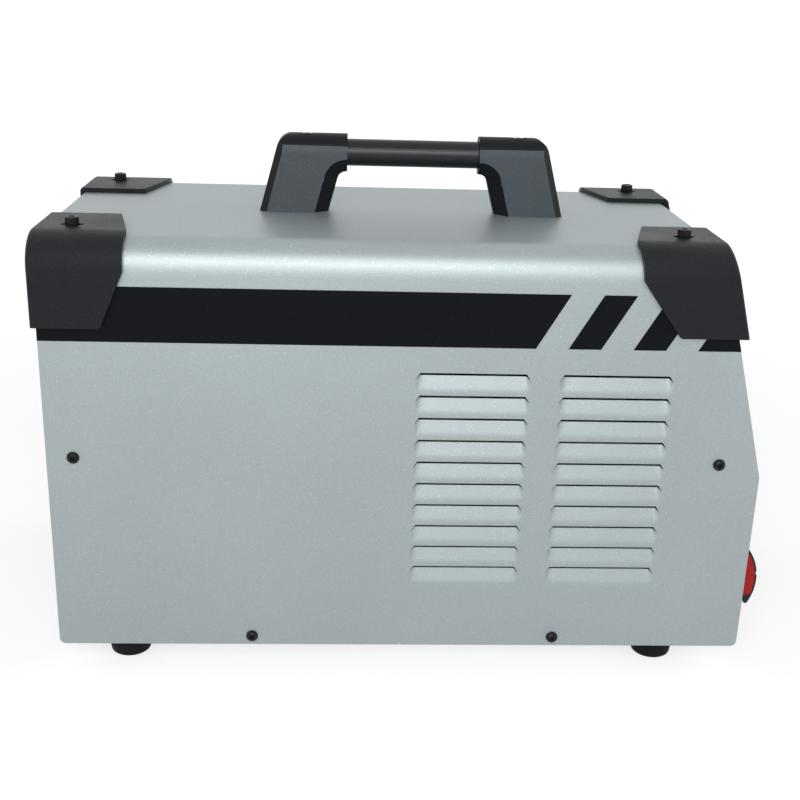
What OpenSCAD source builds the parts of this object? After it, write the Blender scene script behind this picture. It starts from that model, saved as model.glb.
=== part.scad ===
// Capacitor discharge stud welder in a portable sheet-metal case, in millimetres.
// The origin lies on the floor, under the middle of the whole machine.
// +X points to the front with the controls and +Z points up.
// Left and right are those of a person who stands before the front panel, so left is -Y.

/* [Case] */
// Length of the wrap-around cover
case_l = 460; // [440:1:540]
// Width of the cover
case_w = 226; // [220:1:280]
// Height of the cover from its lower edge to its top
case_h = 275; // [265:1:330]
// Thickness of the sheet metal
sheet_t = 1.5; // [1:0.1:2]
// Outer bend radius of the long top edges
edge_r = 18; // [10:0.5:24]
// Radius of the lower corners of the cover
corner_r = 4; // [1:0.5:6]
// Height above the cover's lower edge at which the front starts to lean back
nose_h = 126; // [120:1:134]
// Angle by which the upper front leans back, in degrees
lean = 15; // [8:0.5:20]
// How far the end panels sit behind the edges of the cover
panel_inset = 2; // [0.5:0.5:4]
// Depth of the side flanges of the end panels
flange_d = 34; // [32:1:45]
// Height of the side flanges of the base pan
pan_flange_h = 20; // [14:1:30]

/* [Louvers] */
// Louvers in each column
louver_rows = 10; // [4:1:11]
// Columns of louvers on each side
louver_columns = 2; // [1:1:2]
// Length of the cut along the upper edge of a louver
louver_w = 67; // [40:1:75]
// Distance from row to row
louver_pitch = 15; // [14:0.5:17]
// Distance between the cuts of neighbouring columns
louver_gap = 24; // [16:1:36]
// Height of the tilted face of a louver
louver_h = 12; // [8:0.5:13]
// Depth of a louver at its cut
louver_depth = 3.25; // [2.5:0.25:6]
// Height of the open slot above the tilted face of a louver
louver_slot = 2.4; // [1:0.1:4]
// How far each end of a louver spreads below its cut
louver_flare = 3; // [1:0.5:5]
// Start of the first column in front of the middle of the cover
louver_x = 5.5; // [0:0.5:15]
// Height of the uppermost cut above the cover's lower edge
louver_top = 195; // [185:1:200]

/* [Stripe] */
// Thickness of the stripe film
film_t = 0.2; // [0.1:0.05:0.25]
// Height of the stripe
stripe_h = 35; // [20:1:40]
// Height of the stripe's lower edge above the cover's lower edge
stripe_z = 212; // [205:1:216]
// How far the slanted ends of the stripe lean forward
stripe_slant = 20; // [0:1:30]
// Lower end of the long band in front of the middle of the cover
stripe_end = 77; // [40:1:90]
// Length of a slanted block
block_w = 20.5; // [10:0.5:24]
// Distance from block to block
block_pitch = 41; // [30:1:44]

/* [Corner guards] */
// Wall of the moulded guards
guard_t = 3; // [2:0.25:4]
// Clearance between a guard and the cover
guard_gap = 0.3; // [0.3:0.05:0.6]
// Height of a guard from its top to its lower edge
guard_h = 57.5; // [45:0.5:65]
// Height of the upper part of a guard, above its slanted edge
guard_knee = 22; // [18:0.5:30]
// How far a guard reaches over the top from the side of the cover
guard_reach = 67; // [50:1:80]
// Length of a rear guard along the side, from the rear edge of the cover
guard_rear_l = 54; // [48:1:70]
// Length of a rear guard at its lower edge
guard_rear_foot = 39; // [28:1:46]
// Length of a rear guard at its inner end on the top
guard_rear_tip = 43; // [36:1:48]
// Length of a front guard at the top, from the upper front corner of the cover
guard_front_l = 54; // [52:1:70]
// Distance of a front guard's knee from the upper front corner of the cover
guard_front_knee = 52; // [40:1:56]
// Distance of a front guard's lower inner corner from the upper front corner
guard_front_foot = 26; // [10:1:36]
// Length of a front guard at its inner end on the top
guard_front_tip = 40; // [36:1:48]
// How far the end wall of a guard reaches from the side at its lower edge
guard_end_foot = 40; // [20:1:50]
// How far the front guards stand before the front edge of the cover
guard_lead = 2.8; // [0:0.1:4]
// Length of the screw slot in a guard
guard_slot_l = 14; // [8:0.5:16]
// Thread diameter of the guard screws
guard_bolt_d = 5; // [4:0.5:6]
// Distance of the guard screws from the end of the cover's top
guard_bolt_in = 19; // [15:0.5:24]
// Distance of the guard screws from the side of the cover
guard_bolt_side = 30; // [26:0.5:40]

/* [Handle] */
// Middle of the handle in front of the middle of the cover
handle_x = 2.5; // [-10:0.5:10]
// Length of the handle over the feet of its posts
handle_l = 207; // [195:1:230]
// Height of the handle over the cover
handle_h = 52; // [48:0.5:60]
// Free length of the tube between the posts
grip_l = 89; // [80:1:96]
// Width of a post
post_w = 25; // [24:0.5:30]
// Length of the foot of a post
post_foot = 46.5; // [42:0.5:50]
// Lean of the posts, in degrees
post_lean = 15; // [10:0.5:18]
// Radius of a post's outer shoulder
post_r = 12; // [6:0.5:14]
// Radius of the throat under the tube
throat_r = 6; // [3:0.5:6.5]
// Width of the bevels on the inner edges of a post
inner_bevel = 9; // [4:0.5:10]
// Width of the bevels on the outer edges of a post
outer_bevel = 4.5; // [2:0.5:6]
// Diameter of the tube
tube_d = 18; // [14:0.5:18.5]
// Wall of the tube
tube_wall = 1.5; // [1:0.1:2.5]
// Depth to which the tube enters a post
tube_seat = 34; // [28:1:36]

/* [Feet] */
// Height of the feet
foot_h = 16; // [14:0.5:24]
// Diameter of a foot at the base pan
foot_d = 28; // [22:0.5:32]
// Diameter of a foot at the floor
foot_tip_d = 25; // [20:0.5:28]
// Radius of the lower edge of a foot
foot_edge_r = 2; // [1:0.25:3]
// Distance of the rear feet from the rear edge of the cover
foot_rear = 43; // [30:1:60]
// Distance of the front feet from the front edge of the cover
foot_front = 53; // [40:1:70]
// Distance of the feet from the side of the cover
foot_side = 23; // [20:0.5:30]

/* [Cover screws] */
// Thread diameter of the cover screws
screw_d = 4; // [3:0.5:5]
// Diameter of their heads
screw_head_d = 8; // [6:0.5:9]
// Height of the side screws above the cover's lower edge
side_screw_h = 135; // [128:1:145]
// Distance of the front side screw from the front edge
side_screw_front = 25.5; // [20:0.5:28]
// Distance of the rear side screw from the rear edge
side_screw_rear = 17; // [12:0.5:25]
// Height of the lower screws above the cover's lower edge
low_screw_h = 6.6; // [6:0.1:8]
// Distance of the lower screws from the middle of the cover
low_screw_x = 101.7; // [80:0.1:120]

/* [Power switch] */
// Distance of the switch's middle from the left side of the cover
switch_y = 31; // [27:1:35]
// Height of the switch above the cover's lower edge
switch_z = 45; // [40:1:52]
// Height of the rocker
rocker_l = 45; // [36:0.5:46]
// Width of the rocker
rocker_w = 30; // [26:0.5:32]
// How far the rocker stands out of the panel
rocker_out = 16; // [14:0.5:18]
// Radius of the rocker's front
rocker_r = 38; // [34:0.5:50]
// Angle through which the rocker swings, in degrees
rocker_swing = 16; // [10:1:16]

/* [Front controls] */
// Diameter of the voltage knob
knob_d = 30; // [24:1:36]
// Height of the voltage knob
knob_h = 17; // [14:0.5:22]
// Diameter of the knob's shaft
shaft_d = 6; // [5:0.5:6.5]
// Distance of the knob from the middle of the front
knob_y = 48; // [40:1:60]
// Distance of the knob from the nose of the front, along the leaning panel
knob_s = 52; // [44:1:58]
// Width of the meter
meter_w = 66; // [50:1:76]
// Height of the meter
meter_h = 34; // [26:1:36]
// Distance of the meter from the nose of the front, along the leaning panel
meter_s = 112; // [106:1:116]
// Diameter of an indicator lamp's collar
lamp_d = 12; // [10:0.5:14]
// Distance of the lamps from the middle of the front
lamp_y = 36; // [30:1:50]
// Distance of the lower lamp from the nose of the front, along the leaning panel
lamp_s = 40; // [34:1:46]
// Distance from lamp to lamp
lamp_pitch = 24; // [18:1:28]

/* [Weld sockets] */
// Bore of the contact, for a 13 mm plug
socket_bore_d = 13.2; // [9.2:0.1:14]
// Depth of the bore
socket_bore_l = 30; // [24:1:32]
// Diameter of the insulating collar
socket_d = 44; // [38:1:48]
// How far the collar stands out of the panel
socket_out = 20; // [18:0.5:26]
// Height of the sockets above the cover's lower edge
socket_z = 62; // [52:1:66]
// Place of the negative socket, from the middle of the front to the left
minus_y = 14; // [10:1:18]
// Distance of the positive socket's middle from the right side of the cover
plus_y = 47; // [35:1:53]
// Diameter of the gun control socket's thread
gun_d = 16; // [12:1:19]
// Height of the gun control socket above the cover's lower edge
gun_z = 104; // [100:1:108]

/* [Fan] */
// Edge length of the fan frame
fan_size = 120; // [110:1:126]
// Depth of the fan frame
fan_depth = 38; // [32:1:42]
// Wall of the fan frame at the middle of an edge
fan_wall = 2.5; // [2:0.25:4]
// Diameter of the fan hub
fan_hub_d = 52; // [40:1:60]
// Blades of the fan
fan_blades = 7; // [5:1:9]
// Height of the fan's middle above the cover's lower edge
fan_z = 145; // [140:1:165]

/* [Rear fittings] */
// Bore of the mains cable gland
gland_bore_d = 11; // [8:0.5:12]
// How far the gland stands out of the panel
gland_out = 30; // [28:0.5:36]
// Distance of the gland's middle from the side of the cover
gland_y = 41; // [33:1:53]
// Height of the gland above the cover's lower edge
gland_z = 40; // [34:1:50]
// Thread diameter of the earth stud
earth_d = 8; // [6:0.5:8]
// Free length of the earth stud past its outer nut
earth_free = 14; // [10:0.5:16]
// Place of the earth stud, from the middle of the rear to the right
earth_y = 24; // [15:1:35]
// Height of the earth stud above the cover's lower edge
earth_z = 34; // [30:1:40]

/* [Inside] */
// Diameter of a storage capacitor
cap_d = 76; // [63:0.5:78]
// Height of a storage capacitor
cap_h = 120; // [100:1:140]
// Distance from capacitor to capacitor
cap_pitch = 86; // [84:1:88]
// Distance of the capacitors' middle from the rear edge of the cover
cap_rear = 138; // [136:1:144]
// Width of a busbar
bar_w = 24; // [18:0.5:28]
// Thickness of a busbar
bar_t = 3; // [2:0.25:4]
// Length of the transformer core
core_l = 84; // [70:1:90]
// Stack height of the transformer core
core_w = 44; // [36:1:50]
// Height of the transformer core
core_h = 70; // [60:1:76]
// Length of the heat sink
sink_l = 142; // [95:1:150]
// Height of the heat sink
sink_h = 140; // [85:1:145]
// Fins of the heat sink
sink_fins = 8; // [5:1:9]
// Width of the control board
board_w = 150; // [120:1:160]
// Height of the control board
board_h = 84; // [70:1:90]
// Distance of the control board behind the leaning panel
board_gap = 32; // [30:1:40]

/* [Hidden] */
$fn = 64;

// How far a cutter passes the face that it cuts
overrun = 1;
// Radial clearance of a screw in its hole
hole_gap = 0.2;
// Clearance between the cover and the sheets inside it
sheet_gap = 0.2;
// Radial clearance of a turning shaft in its bearing
run_gap = 0.06;
// Radial clearance of a piece that is pushed into a seat
seat_gap = 0.15;

// Places that the whole case shares
half_l = case_l / 2;
half_w = case_w / 2;
floor_z = foot_h;
top_z = floor_z + case_h;
nose_z = floor_z + nose_h;
face_x = half_l - panel_inset;
pan_top = floor_z + sheet_t;
inner_half_w = half_w - sheet_t - sheet_gap;
inner_top = top_z - sheet_t - sheet_gap;
mid_x = (socket_out - gland_out) / 2;
switch_at = switch_y - half_w;
plus_at = half_w - plus_y;
gland_at = half_w - gland_y;
corner_x = front_x(top_z, 0);

// Small sizes of the louvers
louver_shoulder = 4.5;
louver_corner = 3;

// Small sizes of the screws
screw_head_h = 2.5;
screw_l = 8;
guard_head_d = 8.5;
guard_head_h = 5;
guard_hex_d = 4.6;
guard_hex_h = 2.5;
guard_bolt_l = 12;
foot_screw_d = 5;
foot_head_d = 9;
foot_head_h = 3.5;
foot_sink = 8;
foot_nut_d = 9.2;
foot_nut_h = 4;

// Small sizes of the handle
handle_bolt_d = 6;
handle_bolt_head_d = 10;
handle_bolt_head_h = 5;
handle_bolt_grip = 16;
handle_bolt_shares = [0.3, 0.75];
lock_share = 0.8;
lock_d = 3;
lock_head_d = 7;
lock_head_h = 1.5;
lock_sink = 1.8;
lock_l = 4;
lock_rim = 1.5;

// Small sizes of the power switch
bezel_t = 2.5;
bezel_lip = 2.4;
cheek_gap = 2.1;
cheek_w = 3;
cheek_out = 9;
cheek_slope = 1.5;
rocker_lift = 0.6;
rocker_back_gap = 0.3;
rocker_groove = 0.8;
pivot_in = 5;
pivot_d = 4;
stem_w = 23;
stem_gap = 0.5;
stem_l = 24;
stem_tail = 9;
stem_tail_l = 14;
switch_wall = 2;
switch_depth = 30;
switch_hollow = 20;
bezel_w = rocker_w + 2 * switch_wall;
cheek_z = rocker_l / 2 + cheek_gap;
bezel_l = 2 * (cheek_z + cheek_w);
body_w = stem_w + 2 * (stem_gap + switch_wall);
body_l = bezel_l - 2 * bezel_lip;

// Small sizes of the knob and its potentiometer
knob_lift = 0.6;
knob_skirt_h = 4;
knob_taper = 2.5;
knob_flutes = 14;
knob_flute_d = 3;
knob_hollow_d = 15;
knob_hollow_h = 4;
knob_wall = 3;
knob_mark_w = 1.6;
knob_mark_d = 0.8;
pot_d = 17;
pot_l = 11;
pot_bush_d = 9;
pot_bush_l = 3;
pot_nut_d = 13;
pot_nut_h = 2;

// Small sizes of the meter and lamps
meter_out = 3;
meter_rim = 5;
meter_depth = 22;
meter_lip = 2;
meter_glass_t = 1.5;
lamp_out = 2.5;
lamp_lens_d = 8;
lamp_rim_d = 10;
lamp_lens_out = 3;
lamp_body_l = 16;
lamp_nut_t = 3;

// Small sizes of the sockets
socket_barrel_d = 33;
socket_barrel_l = 24;
socket_nut_d = 44;
socket_nut_t = 6;
socket_chamfer = 2;
socket_mouth_d = 27;
socket_recess = 4;
contact_d = 22;
contact_back = 6;
contact_stud_d = 10;
contact_stud_l = 22;
key_w = 4;
key_h = 2.5;
gun_flange_d = 20;
gun_flange_t = 3;
gun_out = 11;
gun_in = 12;
gun_wall = 1.8;
gun_recess = 1.5;
gun_pin_d = 2;
gun_pin_out = 1;
gun_pin_share = 0.5;
gun_pins = 4;

// Small sizes of the fan
fan_corner_r = 6;
fan_hole_share = 0.875;
fan_screw_d = 4;
fan_head_d = 7.5;
fan_head_h = 2.5;
fan_nut_d = 8;
fan_nut_h = 3.2;
fan_motor_l = 13;
fan_strut_w = 5;
fan_strut_t = 4;
fan_strut_in = 1;
fan_front_gap = 3;
fan_rear_gap = 0.5;
fan_tip_gap = 1.2;
fan_shaft_d = 5;
fan_shaft_l = 9;
blade_t = 1.6;
blade_chord = 27;
blade_pitch = 40;
wire_d = 2.2;
wire_bite_share = 0.7;
wire_stand = 3;
grille_rings = 5;
grille_inner_share = 0.25;
eyelet_d = 11;
eyelet_h = 4.6;
fan_pitch = fan_size * fan_hole_share;
fan_bore_r = fan_size / 2 - fan_wall;

// Small sizes of the rear fittings
gland_thread_d = 22;
gland_hex_d = 31;
gland_hex_l = 8;
gland_cap_d = 27;
gland_cap_l = 14;
gland_in = 12;
gland_nut_t = 4;
gland_tip_d = 18;
earth_nut_d = 15;
earth_nut_t = 6.5;
earth_washer_d = 17;
earth_washer_t = 1.6;
earth_in = 4;

// Small sizes of the pieces inside
tray_t = 4;
tray_ring_h = 22;
tray_ring_t = 3;
tray_edge = 3;
cap_gap = 0.4;
cap_rim_d = 3;
cap_post_d = 12;
cap_post_h = 6;
cap_post_span = 28;
cap_edge_r = 3;
sink_x = 18;
sink_gap = 9.3;
sink_base_t = 10;
sink_fin_t = 3;
sink_fin_d = 20;
thyristor_l = 92;
thyristor_w = 34;
thyristor_t = 30;
thyristor_z = 46;
thyristor_post_d = 10;
thyristor_post_h = 4;
thyristor_posts = 3;
thyristor_post_share = 0.28;
rectifier_l = 28;
rectifier_t = 10;
rectifier_z = 12;
rectifier_leg_w = 6;
rectifier_leg_t = 1;
rectifier_leg_h = 8;
core_x = 88;
core_gap = 7.3;
core_limb_share = 0.25;
core_foot_t = 3;
coil_t = 14;
coil_gap = 0.5;
resistor_l = 70;
resistor_w = 26;
resistor_h = 16;
resistor_foot_t = 3;
resistor_foot_w = 38;
resistor_rear = 1.5;
resistor_rib_n = 6;
resistor_rib_t = 2;
resistor_rib_d = 1.2;
resistor_pin_d = 5;
resistor_pin_l = 8;
board_t = 1.6;
board_s = 64;
standoff_d = 7;
standoff_in = 6;
standoff_stud_d = 3;
standoff_nut_t = 2.4;
relay_l = 28;
relay_w = 14;
relay_h = 16;
relay_share = 0.3;
chip_l = 20;
chip_w = 8;
chip_h = 3;

// Places that the pieces inside share
cap_x = half_l - cap_rear;
resistor_x = sheet_t + resistor_rear + resistor_foot_w / 2 - face_x;
bar_z = pan_top + tray_t + cap_h + cap_post_h;
sink_y = inner_half_w - sink_gap - sink_fin_d;
core_y = core_gap + coil_t + core_w / 2 - inner_half_w;
thyristor_face_y = sink_y - sink_base_t - thyristor_t - thyristor_post_h;
thyristor_post_z = pan_top + thyristor_z + thyristor_w / 2;
stud_bar_x = face_x + socket_out - socket_recess - socket_bore_l - contact_back
    - contact_stud_l + bar_t;

function front_x(z, grow) = half_l + grow / cos(lean) - (z - nose_z) * tan(lean);
function end_side(i) = i % 2 == 0 ? -1 : 1;
function foot_x(i) = i < 2 ? -half_l + foot_rear : half_l - foot_front;
function foot_y(i) = end_side(i) * (half_w - foot_side);
function guard_bolt_x(i) = i < 2 ? -half_l + guard_bolt_in : corner_x - guard_bolt_in;
function guard_bolt_y(i) = end_side(i) * (half_w - guard_bolt_side);
function cap_x_at(i) = -cap_x + (i < 2 ? -1 : 1) * cap_pitch / 2;
function cap_y_at(i) = end_side(i) * cap_pitch / 2;
function handle_bolt_x(k) = handle_l / 2 - post_foot + post_foot * handle_bolt_shares[k];
function thyristor_post_x(i) =
    sink_x + thyristor_l / 2 + (i - (thyristor_posts - 1) / 2) * thyristor_l * thyristor_post_share;
function louver_at(c, r) =
    [louver_x + louver_w / 2 + c * (louver_w + louver_gap), floor_z + louver_top - r * louver_pitch];

// Moves the case so that the origin is under the middle of the whole machine
module part() {
    translate([-mid_x, 0, 0]) children();
}

// Extrudes an outline drawn in Y and Z from x0 to x1
module along_x(x0, x1) {
    translate([x0, 0, 0]) rotate([90, 0, 90]) linear_extrude(x1 - x0) children();
}

// Extrudes an outline drawn in X and Z from y0 to y1
module across_y(y0, y1) {
    translate([0, y1, 0]) rotate([90, 0, 0]) linear_extrude(y1 - y0) children();
}

// Turns a profile, drawn as radius and place along the axis, about X
module turn_x() {
    rotate([0, 90, 0]) rotate_extrude() children();
}

module rod_x(x0, x1, d) {
    translate([x0, 0, 0]) rotate([0, 90, 0]) cylinder(h = x1 - x0, d = d);
}

module hex_x(x0, x1, d) {
    translate([x0, 0, 0]) rotate([0, 90, 0]) cylinder(h = x1 - x0, d = d, $fn = 6);
}

module block(x0, x1, w, h) {
    translate([x0, -w / 2, -h / 2]) cube([x1 - x0, w, h]);
}

// A square bar that stands on its end
module block_up(w, h) {
    translate([-w / 2, -w / 2, 0]) cube([w, w, h]);
}

module both_sides() {
    children();
    mirror([0, 1, 0]) children();
}

// Places children on the upright front, on the leaning front or on the rear, with +X outwards
module on_front(y, h) {
    translate([face_x, y, floor_z + h]) children();
}

module on_lean(y, s) {
    translate([face_x, y, nose_z - panel_inset * tan(lean / 2)]) rotate([0, -lean, 0])
        translate([0, 0, s]) children();
}

module on_rear(y, h) {
    translate([-face_x, y, floor_z + h]) rotate([0, 0, 180]) children();
}

// Outline of the case across its width, with round upper corners
module arch(w, h, r) {
    translate([-w / 2, 0]) square([w, h - r]);
    translate([r - w / 2, 0]) square([w - 2 * r, h]);
    for (s = [-1, 1]) translate([s * (w / 2 - r), h - r]) circle(r);
}

// An upright outline with a half-round top
module dome(w, h) {
    translate([-w / 2, 0]) square([w, h - w / 2]);
    translate([0, h - w / 2]) circle(d = w);
}

// Outline of the case from the side, grown outwards at its ends and top
module side_outline(grow = 0) {
    difference() {
        polygon([
            [-half_l - grow, floor_z], [half_l + grow, floor_z],
            [half_l + grow, nose_z + grow * tan(lean / 2)],
            [front_x(top_z + grow, grow), top_z + grow], [-half_l - grow, top_z + grow]
        ]);
        for (m = [0, 1]) mirror([m, 0]) translate([-half_l - grow, floor_z]) difference() {
            translate([-overrun, -overrun]) square(corner_r + overrun);
            translate([corner_r, corner_r]) circle(corner_r);
        }
    }
}

// The space that the case fills, grown outwards
module envelope(grow) {
    intersection() {
        across_y(-half_w - grow, half_w + grow) side_outline(grow);
        translate([0, 0, floor_z]) along_x(-half_l - grow, half_l + grow)
            arch(case_w + 2 * grow, case_h + grow, edge_r + grow);
    }
}

// The space inside the cover, for the sheets that it closes over
module inner_space() {
    translate([0, 0, floor_z]) along_x(-half_l, half_l)
        arch(2 * inner_half_w, inner_top - floor_z, edge_r - sheet_t - sheet_gap);
}

// One louver on the left side: wall 0 gives its hollow, and the sheet's thickness its pressed metal
module louver(wall, out, slot) {
    half = louver_w / 2 + wall;
    side = half + louver_flare;
    depth = wall + louver_depth * (1 - slot / louver_h);
    intersection() {
        along_x(-side, side) polygon([
            [-half_w - out, -slot], [depth - half_w, -slot], [wall - half_w, -louver_h],
            [-half_w - out, -louver_h]
        ]);
        across_y(-half_w - out, depth - half_w) polygon([
            [-half, 0], [half, 0], [side, -louver_shoulder], [side, louver_corner - louver_h],
            [side - louver_corner, -louver_h], [louver_corner - side, -louver_h],
            [-side, louver_corner - louver_h], [-side, -louver_shoulder]
        ]);
    }
}

module louvers(wall, out, slot) {
    for (c = [0 : louver_columns - 1], r = [0 : louver_rows - 1]) {
        at = louver_at(c, r);
        translate([at[0], 0, at[1]]) louver(wall, out, slot);
    }
}

// Children at each screw of the left side, with +Y inwards from the outer face
module at_cover_screws() {
    front = front_x(floor_z + side_screw_h, 0) - side_screw_front;
    spots = [
        [side_screw_rear - half_l, side_screw_h], [front, side_screw_h],
        [-low_screw_x, low_screw_h], [low_screw_x, low_screw_h]
    ];
    for (p = spots) translate([p[0], -half_w, floor_z + p[1]]) rotate([-90, 0, 0]) children();
}

module at_guard_bolts() {
    for (i = [0 : 3]) translate([guard_bolt_x(i), guard_bolt_y(i), 0]) children();
}

module at_handle_bolts() {
    for (s = [-1, 1], k = [0, 1]) translate([handle_x + s * handle_bolt_x(k), 0, 0]) children();
}

module screw_hole(d) {
    translate([0, 0, -overrun]) cylinder(h = sheet_t + sheet_gap + sheet_t + 2 * overrun, d = d);
}

module case_cover() {
    color("silver") part() difference() {
        union() {
            difference() {
                envelope(0);
                translate([0, 0, floor_z - overrun])
                    along_x(-half_l - overrun, half_l + overrun)
                        arch(case_w - 2 * sheet_t, case_h - sheet_t + overrun, edge_r - sheet_t);
            }
            both_sides() louvers(sheet_t, 0, louver_slot);
        }
        both_sides() {
            louvers(0, overrun, 0);
            at_cover_screws() screw_hole(screw_d + 2 * hole_gap);
        }
        translate([0, 0, top_z - sheet_t]) {
            at_guard_bolts() screw_hole(guard_bolt_d + 2 * hole_gap);
            at_handle_bolts() screw_hole(handle_bolt_d + 2 * hole_gap);
        }
    }
}

module base_pan() {
    color("gray") part() difference() {
        union() {
            translate([-face_x, -inner_half_w, floor_z]) cube([2 * face_x, 2 * inner_half_w, sheet_t]);
            both_sides() translate([-face_x, -inner_half_w, floor_z])
                cube([2 * face_x, sheet_t, pan_flange_h]);
        }
        both_sides() at_cover_screws() screw_hole(screw_d + 2 * hole_gap);
        for (i = [0 : 3]) translate([foot_x(i), foot_y(i), floor_z])
            screw_hole(foot_screw_d + 2 * hole_gap);
    }
}

// Side view of the front panel between two depths behind the edge of the cover
module front_strip(d0, d1) {
    polygon([
        [half_l - d0, pan_top], [half_l - d0, nose_z - d0 * tan(lean / 2)],
        [front_x(inner_top, -d0), inner_top], [front_x(inner_top, -d1), inner_top],
        [half_l - d1, nose_z - d1 * tan(lean / 2)], [half_l - d1, pan_top]
    ]);
}

// The side flanges end above those of the base pan
module flange_notch() {
    both_sides() translate([-half_l, -inner_half_w - overrun, floor_z])
        cube([case_l, sheet_t + sheet_gap + overrun, pan_flange_h + sheet_gap]);
}

module front_panel() {
    back = panel_inset + flange_d;
    color("dimgray") part() difference() {
        intersection() {
            union() {
                across_y(-inner_half_w, inner_half_w)
                    front_strip(panel_inset, panel_inset + sheet_t);
                both_sides() across_y(-inner_half_w, sheet_t - inner_half_w)
                    front_strip(panel_inset, back);
            }
            inner_space();
        }
        flange_notch();
        both_sides() at_cover_screws() screw_hole(screw_d + 2 * hole_gap);
        on_front(switch_at, switch_z)
            block(-sheet_t - overrun, overrun, body_w + 2 * seat_gap, body_l + 2 * seat_gap);
        for (y = [-minus_y, plus_at]) on_front(y, socket_z)
            rod_x(-sheet_t - overrun, overrun, socket_barrel_d + 2 * hole_gap);
        on_front((plus_at - minus_y) / 2, gun_z)
            rod_x(-sheet_t - overrun, overrun, gun_d + 2 * hole_gap);
        on_lean(0, meter_s) block(-sheet_t - overrun, overrun,
            meter_w - 2 * meter_lip + 2 * seat_gap, meter_h - 2 * meter_lip + 2 * seat_gap);
        on_lean(knob_y, knob_s)
            rod_x(-sheet_t - overrun, overrun, pot_bush_d + 2 * hole_gap);
        for (i = [0, 1]) on_lean(-lamp_y, lamp_s + i * lamp_pitch)
            rod_x(-sheet_t - overrun, overrun, lamp_lens_d + 2 * hole_gap);
    }
}

module rear_panel() {
    color("dimgray") part() difference() {
        intersection() {
            union() {
                translate([-face_x, -inner_half_w, pan_top])
                    cube([sheet_t, 2 * inner_half_w, inner_top - pan_top]);
                both_sides() translate([-face_x, -inner_half_w, pan_top])
                    cube([flange_d, sheet_t, inner_top - pan_top]);
            }
            inner_space();
        }
        flange_notch();
        both_sides() at_cover_screws() screw_hole(screw_d + 2 * hole_gap);
        on_rear(0, fan_z) {
            rod_x(-sheet_t - overrun, overrun, 2 * fan_bore_r);
            at_fan_holes() rod_x(-sheet_t - overrun, overrun, fan_screw_d + 2 * hole_gap);
        }
        on_rear(gland_at, gland_z)
            rod_x(-sheet_t - overrun, overrun, gland_thread_d + 2 * hole_gap);
        on_rear(earth_y, earth_z) rod_x(-sheet_t - overrun, overrun, earth_d + 2 * hole_gap);
    }
}

// Side, plan and end views of a guard, which are cut out of one shell round the corner
module rear_guard_side() {
    top = top_z + guard_gap + guard_t;
    rear = -half_l - guard_gap - guard_t;
    polygon([
        [rear, top - guard_h], [guard_rear_foot - half_l, top - guard_h],
        [guard_rear_l - half_l, top - guard_knee], [guard_rear_l - half_l, top], [rear, top]
    ]);
}

module rear_guard_plan() {
    side = half_w + guard_gap + guard_t;
    rear = -half_l - guard_gap - guard_t;
    polygon([
        [rear, -side], [guard_rear_l - half_l, -side], [guard_rear_l - half_l, edge_r - half_w],
        [guard_rear_tip - half_l, guard_reach - half_w], [rear, guard_reach - half_w]
    ]);
}

module front_guard_side() {
    top = top_z + guard_gap + guard_t;
    polygon([
        [corner_x - guard_front_foot, top - guard_h], [half_l, top - guard_h], [half_l, top],
        [corner_x - guard_front_l, top], [corner_x - guard_front_knee, top - guard_knee]
    ]);
}

module front_guard_plan() {
    side = half_w + guard_gap + guard_t;
    polygon([
        [half_l, -side], [corner_x - guard_front_l, -side],
        [corner_x - guard_front_l, edge_r - half_w],
        [corner_x - guard_front_tip, guard_reach - half_w], [half_l, guard_reach - half_w]
    ]);
}

module guard_end() {
    top = top_z + guard_gap + guard_t;
    side = half_w + guard_gap + guard_t;
    polygon([
        [-side, top - guard_h], [guard_end_foot - half_w, top - guard_h],
        [guard_reach - half_w, top - guard_knee], [guard_reach - half_w, top], [-side, top]
    ]);
}

module guard_slot() {
    run = (guard_slot_l - guard_bolt_d) / 2;
    width = guard_bolt_d + 2 * hole_gap;
    for (s = [-1, 1]) translate([s * run, 0, top_z])
        cylinder(h = guard_gap + guard_t + overrun, d = width);
    translate([-run, -width / 2, top_z]) cube([2 * run, width, guard_gap + guard_t + overrun]);
}

module corner_guard(i) {
    reach = half_l + guard_gap + guard_t;
    side = half_w + guard_gap + guard_t;
    lead = i < 2 ? 0 : guard_lead;
    color("darkslategray") part() mirror([0, i % 2, 0]) difference() {
        translate([lead, 0, 0]) difference() {
            intersection() {
                envelope(guard_gap + guard_t);
                across_y(-side, 0) {
                    if (i < 2) rear_guard_side();
                    else front_guard_side();
                }
                translate([0, 0, floor_z]) linear_extrude(case_h + guard_gap + guard_t) {
                    if (i < 2) rear_guard_plan();
                    else front_guard_plan();
                }
                along_x(-reach, reach) guard_end();
            }
            envelope(guard_gap);
        }
        translate([guard_bolt_x(i), guard_bolt_side - half_w, 0]) guard_slot();
    }
}

module guard_screws() {
    seat = top_z + guard_gap + guard_t;
    color("black") part() at_guard_bolts() difference() {
        union() {
            translate([0, 0, seat]) cylinder(h = guard_head_h, d = guard_head_d);
            translate([0, 0, seat - guard_bolt_l]) cylinder(h = guard_bolt_l, d = guard_bolt_d);
        }
        translate([0, 0, seat + guard_head_h - guard_hex_h])
            cylinder(h = guard_hex_h + overrun, d = guard_hex_d, $fn = 6);
    }
}

module cover_screws() {
    color("black") part() both_sides() at_cover_screws() {
        translate([0, 0, -screw_head_h]) cylinder(h = screw_head_h, d = screw_head_d);
        cylinder(h = screw_l, d = screw_d);
    }
}

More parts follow.
